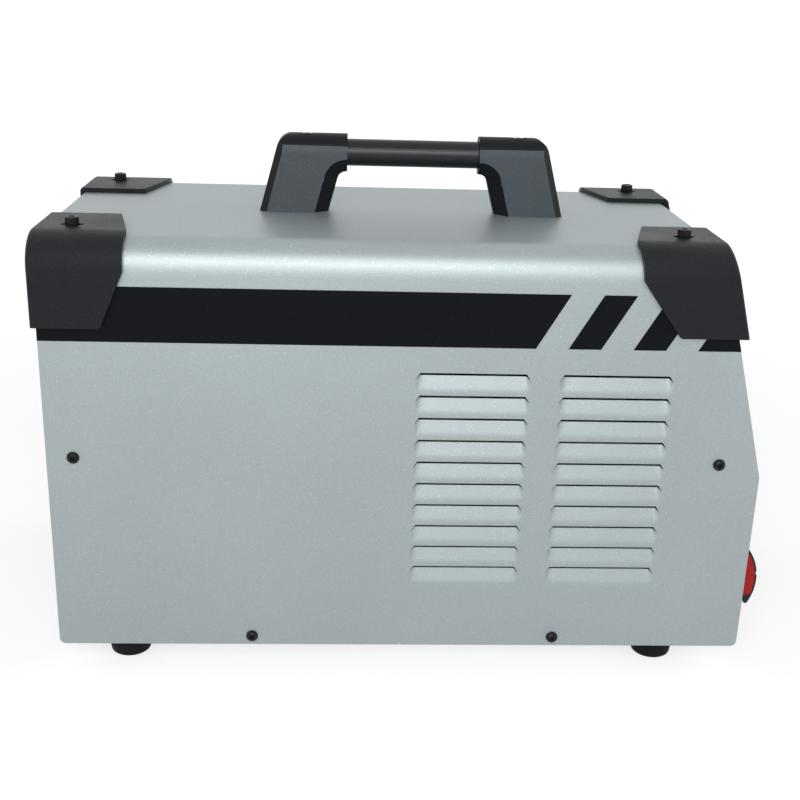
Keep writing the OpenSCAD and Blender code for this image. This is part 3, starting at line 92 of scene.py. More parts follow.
def seenRay(tree):
    # 1 for the eye, for reflections and for light through glass, otherwise 0
    ray = put(tree, "LightPath").outputs
    seen = calc(tree, "MAXIMUM", ray["Is Camera Ray"], ray["Is Glossy Ray"])
    return calc(tree, "MAXIMUM", seen, ray["Is Transmission Ray"])


def linked(name, content):
    thing = bpy.data.objects.new(name, content)
    bpy.context.scene.collection.objects.link(thing)
    return thing


def makeCamera():
    eye = bpy.data.cameras.new("photoCamera")
    eye.sensor_width = 36
    eye.lens = viewpoint["lens"]
    eye.clip_end = 50
    camera = linked("photoCamera", eye)
    camera.matrix_world = (Matrix.Translation(Vector(viewpoint["place"]) * mm) @ turned(viewpoint["yaw"], "Z")
                           @ turned(pi / 2 - viewpoint["pitch"], "X") @ turned(viewpoint["roll"], "Z"))
    bpy.context.scene.camera = camera


def makeRoom():
    world = bpy.data.worlds.new("studioRoom")
    bpy.context.scene.world = world
    world.use_nodes = True
    tree = world.node_tree
    level = put(tree, "MapRange", {"Value": seenRay(tree), "To Min": studio["worldLevel"], "To Max": 1.0})
    room = tree.nodes["Background"]
    room.inputs["Color"].default_value = (1, 1, 1, 1)
    tree.links.new(level.outputs[0], room.inputs["Strength"])


def makeFloor():
    paper = bpy.data.materials.new("paleFloor")
    paper.use_nodes = True
    tree = paper.node_tree
    tree.nodes.clear()
    matt = put(tree, "BsdfDiffuse", {"Color": studio["floorColor"]})
    away = put(tree, "VectorMath", {0: put(tree, "TexCoord").outputs["Object"]}, operation="LENGTH")
    g = studio["floorGlow"]
    level = put(tree, "MapRange", {"Value": away.outputs["Value"], "From Min": g["from"], "From Max": g["to"],
                                   "To Min": g["near"], "To Max": g["far"]})
    glow = put(tree, "Emission", {"Strength": calc(tree, "MULTIPLY", seenRay(tree), level.outputs[0])})
    total = put(tree, "AddShader", {0: matt.outputs[0], 1: glow.outputs[0]})
    put(tree, "OutputMaterial", {"Surface": total.outputs[0]})
    bm = bmesh.new()
    ops.create_grid(bm, x_segments=1, y_segments=1, size=studio["floorHalf"])
    mesh = bpy.data.meshes.new("floor")
    bm.to_mesh(mesh)
    bm.free()
    mesh.materials.append(paper)
    linked("floor", mesh)


def makeLights():
    for name, (place, width, height, watts) in studio["lamps"].items():
        lamp = bpy.data.lights.new(name, "AREA")
        lamp.shape = "RECTANGLE"
        lamp.size = width
        lamp.size_y = height
        lamp.energy = watts
        away = Vector(place) - Vector(studio["aim"])
        linked(name, lamp).matrix_world = at(*place) @ away.to_track_quat("Z", "Y").to_matrix().to_4x4()


bpy.context.scene.view_settings.view_transform = "Standard"
makeCamera()
makeRoom()
makeFloor()
makeLights()
print("camera, floor and lamps placed")


# finishes: shared effects are node groups, each finish sets its own values

class Effect:
    # a node group that ends in a colour, a roughness and a height
    def __init__(self, name, *inputs):
        self.inputs = inputs
        self.tree = bpy.data.node_groups.new(name, "ShaderNodeTree")
        for way, labels in (("INPUT", inputs), ("OUTPUT", ("Color", "Roughness", "Height"))):
            for label in labels:
                kind = "NodeSocketColor" if "Color" in label else "NodeSocketFloat"
                self.tree.interface.new_socket(name=label, in_out=way, socket_type=kind)
        self.given = self.tree.nodes.new("NodeGroupInput").outputs
        self.where = put(self.tree, "TexCoord").outputs["Object"]

    def calc(self, operation, a, b):
        return calc(self.tree, operation, a, b)

    def scale(self, size):
        return self.calc("DIVIDE", 1000.0, size)  # a size in millimetres as a texture scale

    def swing(self, value, share):
        # a value round 0.5 as a change of that share, up and down
        return self.calc("MULTIPLY", self.calc("SUBTRACT", value, 0.5), share)

    def noise(self, size, detail, roughness=0.5, where=None):
        return put(self.tree, "TexNoise", {
            "Vector": self.where if where is None else where, "Scale": self.scale(size),
            "Detail": detail, "Roughness": roughness}).outputs["Fac"]

    def range(self, value, low, high, top=1.0):
        return put(self.tree, "MapRange", {"Value": value, "From Min": low, "From Max": high,
                                           "To Max": top}).outputs[0]

    def rareCells(self, size, share):
        # 1 in a share of the cells of a pattern, and the distance from each cell's middle
        cells = put(self.tree, "TexVoronoi", {"Vector": self.where, "Scale": self.scale(size)}).outputs
        chance = put(self.tree, "SeparateColor", {"Color": cells["Color"]}).outputs[0]
        return self.calc("GREATER_THAN", chance, self.calc("SUBTRACT", 1.0, share)), cells["Distance"]

    def ending(self, level, other, share, rough, height):
        # the colour at a level, mixed with another colour by a share
        toned = put(self.tree, "VectorMath", {0: self.given["Color"], "Scale": level}, operation="SCALE")
        mixed = put(self.tree, "Mix", {"Factor": share, "A": toned.outputs["Vector"],
                                       "B": self.given[other]}, data_type="RGBA")
        result = self.tree.nodes.new("NodeGroupOutput").inputs
        for label, socket in (("Color", mixed.outputs["Result"]), ("Roughness", rough), ("Height", height)):
            self.tree.links.new(socket, result[label])
        return self


def makeGrain():
    # moulded or coated grain: a fine pebble, broad drifting patches and rare light specks
    e = Effect("mouldedGrain", "Color", "Speck Color", "Grain Size", "Contrast", "Roughness", "Specks")
    g, patchSize, speckRadius = e.given, 60.0, 0.42
    fine, broad = e.noise(g["Grain Size"], 3.0, 0.6), e.noise(patchSize, 3.0, 0.55)
    rare, away = e.rareCells(g["Grain Size"], g["Specks"])
    speck = e.calc("MULTIPLY", rare, e.calc("LESS_THAN", away, speckRadius))
    drift = e.calc("ADD", e.swing(fine, g["Contrast"]), e.swing(broad, g["Contrast"]))
    rough = e.calc("ADD", g["Roughness"], e.swing(broad, 0.35))
    return e.ending(e.calc("ADD", 1.0, drift), "Speck Color", speck, rough, fine)


def makeFlake():
    # metal flakes in a powder coat: two sizes of bright flake over a slow cloud and orange peel
    e = Effect("metalFlakeCoat", "Color", "Flake Color", "Flake Size", "Flakes", "Roughness")
    g, cloudSize, cloud, peelSize = e.given, 130.0, 0.14, 2.4
    masks = []
    for grow in (1.0, 2.1):
        rare, away = e.rareCells(e.calc("MULTIPLY", g["Flake Size"], grow), e.calc("DIVIDE", g["Flakes"], grow))
        masks.append(e.calc("MULTIPLY", rare, e.range(away, 0.45 / grow, 0.2 / grow, 0.8)))
    flake = e.calc("MAXIMUM", *masks)
    drift = e.swing(e.noise(cloudSize, 2.0), cloud)
    level = e.calc("ADD", 1.0, e.calc("ADD", drift, e.swing(e.noise(g["Flake Size"], 1.0), 0.2)))
    rough = e.calc("SUBTRACT", e.calc("ADD", g["Roughness"], drift), e.calc("MULTIPLY", flake, 0.15))
    return e.ending(level, "Flake Color", flake, rough, e.noise(peelSize, 2.0))


def makeBrush():
    # worked metal: fine lines along one axis, slow tarnish and small scuffs
    e = Effect("workedMetal", "Color", "Tarnish Color", "Tarnish", "Patch Size", "Line Size",
               "Stretch X", "Stretch Y", "Stretch Z", "Roughness")
    g = e.given
    pull = put(e.tree, "CombineXYZ", {i: g["Stretch " + axis] for i, axis in enumerate("XYZ")})
    drawn = put(e.tree, "VectorMath", {0: e.where, 1: pull.outputs[0]}, operation="MULTIPLY").outputs[0]
    lines, patch = e.noise(g["Line Size"], 2.0, where=drawn), e.noise(g["Patch Size"], 4.0, 0.6)
    dull = e.calc("MULTIPLY", e.range(patch, 0.42, 0.75), g["Tarnish"])
    level = e.calc("ADD", 1.0, e.swing(lines, 0.3))
    rough = e.calc("ADD", e.calc("ADD", g["Roughness"], e.calc("MULTIPLY", dull, 0.5)), e.swing(lines, 0.2))
    return e.ending(level, "Tarnish Color", dull, rough, lines)


def rgba(color):
    # three channels, or one grey level
    return (*(color if isinstance(color, tuple) else (color,) * 3), 1)


def finish(name, effect, values, plain, bump, depth):
    # values go to the effect's inputs, plain ones straight to the shader's own sockets
    material = bpy.data.materials.new(name)
    material.use_nodes = True
    tree = material.node_tree
    shader = tree.nodes["Principled BSDF"]
    layer = tree.nodes.new("ShaderNodeGroup")
    layer.node_tree = effect.tree
    for node, given in ((layer, values), (shader, plain)):
        for socket, value in given.items():
            node.inputs[socket].default_value = rgba(value) if "Color" in socket else value
    tree.links.new(layer.outputs["Color"], shader.inputs["Base Color"])
    tree.links.new(layer.outputs["Roughness"], shader.inputs["Roughness"])
    if bump:
        relief = put(tree, "Bump", {"Strength": bump, "Distance": depth * mm, "Height": layer.outputs["Height"]})
        tree.links.new(relief.outputs["Normal"], shader.inputs["Normal"])
    material.diffuse_color = rgba(values["Color"])
    return material


finishes = {"silver": finish("silverPowderCoat", makeFlake(), {
    "Color": (0.362, 0.411, 0.421), "Flake Color": (0.66, 0.72, 0.74), "Flake Size": 0.65, "Flakes": 0.09,
    "Roughness": 0.44}, {"Metallic": 0.65}, 0.2, 0.06)}
# name, colour, specks' colour, grain, contrast, roughness, specks' share, bump and its depth in mm; where they
# differ from the shader's own: specular level, weight and roughness of a clear coat
grainFinishes = {
    "panel": ("darkPanelCoat", (0.032, 0.03264, 0.03392), 0.07, 0.9, 0.5, 0.55, 0.02, 0.5, 0.12),
    "guard": ("guardPlastic", (0.0046, 0.0062, 0.0095), 0.018, 1.0, 0.7, 0.4, 0.03, 1.0, 0.6, 0.2),
    # the handle's plastic, then a much darker copy of it that is painted shade on the posts' edges, top and ends
    "post": ("handlePlastic", (0.053, 0.067, 0.079), 0.11, 0.9, 0.7, 0.48, 0.05, 0.9, 0.4, 0.4),
    "postPaintedShade": ("handlePaintedShade", (0.0075, 0.009, 0.0108), 0.016, 1.0, 0.4, 0.4, 0.01, 0.3, 0.1, 0.13),
    "tube": ("tubeBlack", (0.0045, 0.006, 0.0075), 0.016, 1.4, 0.3, 0.2, 0.01, 0.02, 0.03, 0.34),
    "film": ("stripeFilm", (0.0048, 0.0055, 0.0075), 0.016, 1.2, 0.3, 0.5, 0.01, 0.12, 0.04, 0.07),
    "rubber": ("footRubber", (0.006, 0.0064, 0.0072), 0.02, 0.6, 0.5, 0.68, 0.02, 0.4, 0.06, 0.14),
    "red": ("redPlastic", (0.5, 0.015, 0.012), (0.6, 0.05, 0.04), 1.2, 0.16, 0.36, 0.01, 0.1, 0.04, 0.25),
    "black": ("blackPlastic", (0.009, 0.0094, 0.0105), 0.03, 0.6, 0.4, 0.42, 0.015, 0.3, 0.05, 0.3),
    "white": ("whiteMark", 0.75, 0.6, 0.4, 0.12, 0.5, 0.02, 0, 0),
    "window": ("meterWindow", (0.022, 0.004, 0.005), (0.03, 0.006, 0.006), 3, 0.2, 0.2, 0, 0, 0, 0.25, 0.15, 0.1),
    "segment": ("unlitSegment", (0.075, 0.012, 0.012), (0.085, 0.014, 0.014), 1, 0.2, 0.3, 0, 0, 0),
    "green": ("greenLens", (0.015, 0.3, 0.06), (0.05, 0.4, 0.1), 0.9, 0.3, 0.16, 0.02, 0, 0, 0.5, 0.6, 0.08),
    "amber": ("amberLens", (0.6, 0.2, 0.012), (0.75, 0.32, 0.03), 0.9, 0.3, 0.16, 0.02, 0, 0, 0.5, 0.6, 0.08),
    "sleeve": ("capacitorSleeve", (0.012, 0.03, 0.085), (0.03, 0.06, 0.14), 2, 0.25, 0.3, 0.01, 0.1, 0.05, 0.5, 0.2),
    "tray": ("trayPlastic", 0.06, 0.12, 0.8, 0.35, 0.55, 0.02, 0.3, 0.05),
    "board": ("boardGreen", (0.012, 0.1, 0.035), (0.4, 0.4, 0.36), 2.6, 0.3, 0.38, 0.08, 0.15, 0.05, 0.5, 0.25),
}
# name, colour, tarnish's colour, tarnish, patch, line, stretch along X, Y and Z, roughness, bump and its depth,
# metallic; specular level where it differs
brushFinishes = {
    "zinc": ("zincSheet", (0.539, 0.55, 0.561), 0.33, 0.35, 14, 0.25, 1, 0.05, 1, 0.38, 0.15, 0.05, 1),
    "screw": ("blackScrew", 0.011, 0.005, 0.5, 3, 0.25, 1, 1, 1, 0.26, 0.1, 0.05, 0.2, 0.25),
    "brass": ("brass", (0.72, 0.47, 0.17), (0.34, 0.2, 0.07), 0.35, 5, 0.25, 1, 1, 1, 0.27, 0.1, 0.05, 1),
    "nickel": ("nickelPlate", (0.68, 0.6596, 0.6256), 0.4, 0.25, 6, 0.25, 1, 1, 1, 0.24, 0.08, 0.05, 1),
    "copper": ("copperBar", (0.3, 0.115, 0.065), (0.07, 0.03, 0.02), 0.75, 12, 0.25, 0.06, 1, 1, 0.36, 0.12, 0.05, 1),
    "core": ("coreSteel", 0.2, (0.12, 0.07, 0.045), 0.35, 22, 0.5, 0.02, 1, 0.02, 0.48, 0.5, 0.1, 0.8),
    "anodised": ("blackAnodised", 0.014, 0.022, 0.3, 22, 0.25, 1, 1, 0.04, 0.45, 0.1, 0.05, 0.3),
    "varnish": ("coilVarnish", (0.03, 0.013, 0.008), (0.012, 0.006, 0.004), 0.5, 22, 1.1, 0.05, 1, 1, 0.5, 0.6, 0.2,
                0.2),
    "gold": ("goldAnodised", (0.62, 0.4, 0.1), (0.4, 0.24, 0.06), 0.3, 22, 0.25, 1, 0.05, 1, 0.36, 0.1, 0.05, 0.9),
}


def makeFinishes(table, effect, *plain):
    for key, (name, *row) in table.items():
        bump, depth, *rest = row[len(effect.inputs):]
        finishes[key] = finish(name, effect, dict(zip(effect.inputs, row)), dict(zip(plain, rest)), bump, depth)


makeFinishes(grainFinishes, makeGrain(), "Specular IOR Level", "Coat Weight", "Coat Roughness")
makeFinishes(brushFinishes, makeBrush(), "Metallic", "Specular IOR Level")
print("finishes made:", len(finishes))


# general tools for the pieces

def only(kind, items):
    return [item for item in items if isinstance(item, kind)]


def allIn(items, test):
    # edges or faces all of whose corners pass a test
    return [item for item in items if all(test(vert.co) for vert in item.verts)]


def everything(bm):
    return bm.verts[:] + bm.edges[:] + bm.faces[:]


def outward(bm):
    ops.recalc_face_normals(bm, faces=bm.faces)


def topUp(bm):
    # an open sheet, its upper side out
    outward(bm)
    if max(bm.faces, key=lambda face: face.calc_center_median().z).normal.z < 0:
        ops.reverse_faces(bm, faces=bm.faces)


def moved(bm, place):
    ops.transform(bm, matrix=place, verts=bm.verts)
    return bm


def coated(bm, cover):
    for face in bm.faces:
        face.material_index = cover
    return bm


def pulled(bm, grown, vec):
    # moves what an extrusion has grown
    ops.translate(bm, vec=vec, verts=only(BMVert, grown["geom"]))


def ringOf(bm, points):
    # the edges of a closed ring through new points
    verts = [bm.verts.new(point) for point in points]
    return [bm.edges.new((verts[i - 1], verts[i])) for i in range(len(verts))]


def fresh(points, closed=False):
    # a bmesh that starts as a line of points
    bm = bmesh.new()
    verts = [bm.verts.new(point) for point in points]
    for a, b in zip(verts, verts[1:] + verts[:closed]):
        bm.edges.new((a, b))
    return bm


def turnedOn(outline, place=Matrix(), steps=48, cover=0):
    # spins an outline of (radius, distance) pairs round X; one that starts on the axis stays open
    bm = fresh([(along, 0, radius) for radius, along in outline], outline[0][0] > 0)
    ops.spin(bm, geom=everything(bm), cent=(0, 0, 0), axis=(1, 0, 0), angle=2 * pi, steps=steps, use_merge=True)
    ops.remove_doubles(bm, verts=bm.verts, dist=0.002)
    outward(bm)
    return coated(moved(bm, place), cover)


def prism(outline, low, high, place=Matrix(), cover=0):
    # extrudes a closed outline of (y, z) pairs along X
    bm = fresh([(low, y, z) for y, z in outline], True)
    face = ops.contextual_create(bm, geom=bm.edges[:])["faces"]
    pulled(bm, ops.extrude_face_region(bm, geom=face), (high - low, 0, 0))
    outward(bm)
    return coated(moved(bm, place), cover)


def box(halfY, halfZ):
    return [(-halfY, -halfZ), (halfY, -halfZ), (halfY, halfZ), (-halfY, halfZ)]


def cross(arm, half):
    # a plus sign of that reach and half width, as a closed outline
    corners = [(arm, -half), (arm, half), (half, half)]
    points = []
    for turn in range(4):
        points += corners
        corners = [(-z, y) for y, z in corners]
    return points


def roundedBox(width, height, radius, steps):
    # a rectangle with round corners, or a slot, as a closed outline
    points = []
    for i, (y, z) in enumerate(((1, -1), (1, 1), (-1, 1), (-1, -1)), -1):
        for k in range(steps + 1):
            angle = (i + k / steps) * pi / 2
            points.append((y * (width / 2 - radius) + radius * cos(angle),
                           z * (height / 2 - radius) + radius * sin(angle)))
    return list(dict.fromkeys(points))  # a slot's ends meet in one point


def ringPoints(radius, count):
    return [(radius * cos(2 * pi * i / count), radius * sin(2 * pi * i / count)) for i in range(count)]


def sharpEdges(bm, angle):
    return [edge for edge in bm.edges if len(edge.link_faces) == 2 and edge.calc_face_angle(0) > angle]


def softened(bm, width, angle=0.6, segments=2, edges=None, profile=0.5):
    chosen = sharpEdges(bm, angle) if edges is None else edges
    ops.bevel(bm, geom=chosen, offset=width, segments=segments, profile=profile, affect="EDGES", material=-1,
              clamp_overlap=True)
    return bm


def roundedAt(bm, corners, radius):
    ops.bevel(bm, geom=corners, offset=radius, segments=5, profile=0.5, affect="VERTICES", material=-1)


def added(bm, part, place=Matrix()):
    # puts a copy of a part into a bmesh
    mesh = bpy.data.meshes.new("part")
    part.to_mesh(mesh)
    mesh.transform(place)
    bm.from_mesh(mesh)
    bpy.data.meshes.remove(mesh)


def joined(parts):
    bm = bmesh.new()
    for part in parts:
        added(bm, part)
        part.free()
    return bm


def flatAreas(bm):
    # the area of the flat region that each face belongs to
    areas, seen = {}, set()
    for start in bm.faces:
        if start in seen:
            continue
        seen.add(start)
        region, waiting = [], [start]
        while waiting:
            face = waiting.pop()
            region.append(face)
            for edge in face.edges:
                if len(edge.link_faces) == 2 and edge.calc_face_angle(1) < 0.003:
                    more = [other for other in edge.link_faces if other not in seen]
                    seen.update(more)
                    waiting += more
        total = sum(face.calc_area() for face in region)
        areas.update((face, total) for face in region)
    return areas


def shaded(bm, angle, kept):
    # smooth, but sharp at real edges and where a wide flat meets a narrow strip; kept edges stay smooth
    areas = flatAreas(bm)
    for face in bm.faces:
        face.smooth = True
    for edge in bm.edges:
        edge.smooth = False
        if len(edge.link_faces) == 2:
            turn = edge.calc_face_angle(0)
            small, large = sorted(areas[face] for face in edge.link_faces)
            isSoft = turn < 0.012 or large < 4 * small or edge in kept
            edge.smooth = turn < radians(angle) and isSoft


def newPiece(name, bm, coats, slot, stands=(), body="machine", angle=30, kept=()):
    ops.scale(bm, vec=(mm, mm, mm), verts=bm.verts)
    shaded(bm, angle, set(kept))
    mesh = bpy.data.meshes.new(name)
    bm.to_mesh(mesh)
    bm.free()
    for coat in coats:
        mesh.materials.append(finishes[coat])
    piece = linked(name, mesh)
    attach(piece, body)
    if stands:
        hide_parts(*stands)
    return piece


def thickened(piece, wall, edge, segments, limit):
    shell = piece.modifiers.new("wall", "SOLIDIFY")
    shell.thickness = wall * mm
    shell.offset = -1
    shell.use_even_offset = True
    rim = piece.modifiers.new("edge", "BEVEL")
    rim.width = edge * mm
    rim.segments = segments
    rim.limit_method = limit
    rim.angle_limit = radians(55)
    rim.harden_normals = True


def foldedSheet(s, start, end, wall, tip):
    # a sheet along X, from its low rim up the wall, over one bend and along the top to its tip
    top, bend, strip = s["top"], s["bend"], 2.0
    bm = fresh([(start, wall, s["low"]), (start, wall, top), (start, tip, top)])
    pulled(bm, ops.extrude_edge_only(bm, edges=bm.edges[:]), (end - start, 0, 0))
    fold = allIn(bm.edges, lambda co: co.z > top - 0.1 and co.y < wall + 0.1)
    softened(bm, bend, edges=fold, segments=s["bendSteps"], profile=s["bendProfile"])
    # narrow strips on the flats beside the bend, so that its shading ends there
    for point, normal in (((0, 0, top - bend - strip), (0, 0, 1)), ((0, wall + bend + strip, 0), (0, 1, 0))):
        ops.bisect_plane(bm, geom=everything(bm), plane_co=point, plane_no=normal, dist=0.0001)
    return bm


def bendEdges(bm, bend, wall, top):
    # edges within a bend and on its two borders
    return allIn(bm.edges, lambda co: co.z > top - bend - 0.02 and abs(co.y) > abs(wall) - bend - 0.02)


def onFront(y, height):
    return at(caseX + panelX, y, caseLow + height)


def onLean(y, along):
    return at(caseX + panelX, y, leanZ) @ turned(-lean, "Y") @ at(0, 0, along)


def onRear(y, height):
    return at(caseX - panelX, y, caseLow + height) @ turned(pi, "Z")


def upright(x, y, z):
    return at(x, y, z) @ turned(-pi / 2, "Y")


def diagonal(i):
    return turned(pi / 4 + i * pi / 2, "X")


# the cover, with pressed louvers

coverShape = {
    "rear": -225.0, "nose": 235.0, "noseZ": 142.0, "low": 16.0, "top": 291.0, "halfWidth": 113.0,
    # near the CAD's 18 mm arc, but eased where it meets the flats
    "bend": 22.0, "bendProfile": 0.56, "bendSteps": 28, "corner": 4.0, "sheet": 1.5, "rim": 0.3,
}
louverShape = {
    "rows": 10, "columns": 2, "cell": 91.0, "pitch": 15.0, "firstX": -1.5, "firstCut": 211.0, "above": 1.0,
    "cut": 67.0, "flare": 3.0, "shoulder": 4.5, "endDrop": 3.0, "face": 13.4, "depth": 2.2, "slot": 2.1,
    "across": 40, "down": 10, "flat": 0.8, "fade": 0.76, "ease": 0.3, "ring": 0.4,
}


def louverCell():
    # one cell of the side: a face drawn inwards below a slot, in a flat frame
    s = louverShape
    half, flare, shoulder, ease = s["cut"] / 2, s["flare"], s["shoulder"], s["ease"]
    bm = bmesh.new()
    ops.create_grid(bm, x_segments=s["across"], y_segments=s["down"], size=1)
    lip, ends, foot = {}, {}, []
    for vert in bm.verts:
        across, side, down = abs(vert.co.x), copysign(1, vert.co.x), (1 - vert.co.y) / 2
        past = max(0.0, (across - s["flat"]) / (1 - s["flat"]))
        inner = half * min(across / s["flat"], 1.0)
        turn = past * pi / 2
        topX, lipZ = inner + flare * past, -shoulder * past
        topZ = lipZ - s["slot"] * (1 - past)
        endZ = shoulder + s["endDrop"]
        lowX, lowZ = inner + flare * sin(turn), -endZ - (s["face"] - endZ) * cos(turn)
        left = 1 - down
        draw = (left - ease / 2) if left > ease else left * left / (2 * ease)
        draw /= 1 - ease / 2
        end = min(1.0, max(0.0, (1 - across) / (1 - s["fade"])))
        draw *= end * end * (3 - 2 * end)
        x, z = side * (topX + (lowX - topX) * down), topZ + (lowZ - topZ) * down
        if down < 0.001:
            lip[vert] = (x, 0, lipZ)
        elif across > 0.999:
            ends[vert] = side * down
        elif down > 0.999:
            foot.append(vert)
        vert.co = (x, s["depth"] * draw, z)
    # round the cell: the frame's own edge above the slot, one end, the foot, the other end
    line = sorted(lip, key=lambda vert: vert.co.x)
    loop = [line[0]] + [bm.verts.new(lip[vert]) for vert in line[1:-1]] + [line[-1]]
    loop += sorted((vert for vert in ends if ends[vert] > 0), key=ends.get)
    loop += sorted(foot, key=lambda vert: -vert.co.x)
    loop += sorted((vert for vert in ends if ends[vert] < 0), key=ends.get)
    # a narrow flat ring ends the shading of the drawn face
    ring = []
    for i, vert in enumerate(loop):
        run = (loop[(i + 1) % len(loop)].co - loop[i - 1].co).normalized()
        ring.append(bm.verts.new(vert.co + s["ring"] * Vector((-run.z, 0, run.x))))
    for i in range(len(loop)):
        bm.faces.new((loop[i - 1], loop[i], ring[i], ring[i - 1]))
    edges = [bm.edges.get((ring[i - 1], ring[i])) for i in range(len(ring))]
    side, high = s["cell"] / 2, s["above"]
    low = high - s["pitch"]
    edges += ringOf(bm, [(-side, 0, high), (side, 0, high), (side, 0, low), (-side, 0, low)])
    ops.triangle_fill(bm, edges=edges, use_beauty=True, normal=(0, -1, 0))
    return bm


def makeCover():
    s, l = coverShape, louverShape
    wall = -s["halfWidth"]
    bm = foldedSheet(s, s["rear"], s["nose"], wall, 0)

    def sideGeometry():
        faces = allIn(bm.faces, lambda co: abs(co.y - wall) < 0.01)
        return faces, list({v for f in faces for v in f.verts} | {e for f in faces for e in f.edges}) + faces

    lastX = l["firstX"] + l["columns"] * l["cell"]
    topZ = l["firstCut"] + l["above"]
    lowZ = topZ - l["rows"] * l["pitch"]

    def inField(co):
        return l["firstX"] < co.x < lastX and lowZ < co.z < topZ

    cuts = [((l["firstX"] + i * l["cell"], 0, 0), (1, 0, 0)) for i in range(l["columns"] + 1)]
    cuts += [((0, 0, topZ - i * l["pitch"]), (0, 0, 1)) for i in range(l["rows"] + 1)]
    for point, normal in cuts:
        ops.bisect_plane(bm, geom=sideGeometry()[1], plane_co=point, plane_no=normal, dist=0.0001)
    field = [face for face in sideGeometry()[0] if inField(face.calc_center_median())]
    ops.delete(bm, geom=field, context="FACES")

    # the front edge bends at the nose and leans back above it
    front = [edge for edge in allIn(bm.edges, lambda co: co.x == s["nose"])
             if min(v.co.z for v in edge.verts) < s["noseZ"] < max(v.co.z for v in edge.verts)]
    for vert in only(BMVert, ops.subdivide_edges(bm, edges=front, cuts=1)["geom_inner"]):
        vert.co.z = s["noseZ"]
    for vert in bm.verts:
        if vert.co.x > s["nose"] - 0.01 and vert.co.z > s["noseZ"]:
            vert.co.x -= (vert.co.z - s["noseZ"]) * tan(lean)
    feet = [v for v in bm.verts if v.co.z == s["low"] and v.co.x in (s["rear"], s["nose"])]
    roundedAt(bm, feet, s["corner"])

    cell = louverCell()
    for column in range(l["columns"]):
        for row in range(l["rows"]):
            x, z = l["firstX"] + (column + 0.5) * l["cell"], l["firstCut"] - row * l["pitch"]
            added(bm, cell, at(x, wall, z))
    cell.free()
    ops.remove_doubles(bm, verts=bm.verts, dist=0.01)
    ops.mirror(bm, geom=everything(bm), matrix=Matrix(), merge_dist=0.01, axis="Y")
    ops.remove_doubles(bm, verts=bm.verts, dist=0.01)
    topUp(bm)
    # only the outer rim is rounded, not the slots
    weight = bm.edges.layers.float.new("bevel_weight_edge")
    pressed = allIn(bm.edges, lambda co: abs(co.y) > s["halfWidth"] - 2 * l["depth"] and inField(co))
    for edge in bm.edges:
        edge[weight] = 1.0 if edge.is_boundary else 0.0
    for edge in pressed:
        edge[weight] = 0.0
    cover = newPiece("coverShell", bm, ["silver"], "silver_powder_coat", ["case_cover"], angle=32,
                     kept=pressed + bendEdges(bm, s["bend"], wall, s["top"]))
    thickened(cover, s["sheet"], s["rim"], 2, "WEIGHT")


makeCover()
print("cover pressed, with its louvers")


# corner guards

guardShape = {
    "top": 294.3, "low": 236.8, "knee": 272.3, "side": 116.3, "endFoot": 73.0,
    "bend": 21.3, "bendProfile": 0.5, "bendSteps": 24, "wall": 3.0, "endRound": 2.2, "corner": 1.4, "rim": 0.9,
    "caseEnd": 230.0, "lead": 2.8, "proud": 3.3,  # how the front ones stand before the case
    "slotLength": 14.0, "slotWidth": 5.4, "screwY": 83.0,
    # planes that trim a guard, as pairs of points in side view (x, z) and in plan (x, y)
    "rear": {"end": -233.3, "start": -176.0, "tip": 46.0, "side": [((-191.0, 236.8), (-176.0, 272.3))],
             "plan": ((-176.0, -95.0), (-187.0, -46.0)), "screwX": -211.0},
    "front": {"end": 240.0, "start": 138.88, "tip": 52.0,
              "side": [((166.88, 236.8), (140.88, 272.3)), ((140.88, 272.3), (138.88, 294.3))],
              "plan": ((138.88, -95.0), (152.88, -46.0)), "screwX": 171.08},
}


def guardFront(z):
    s = guardShape
    return s["caseEnd"] + s["lead"] + s["proud"] / cos(lean) - (z - coverShape["noseZ"]) * tan(lean)


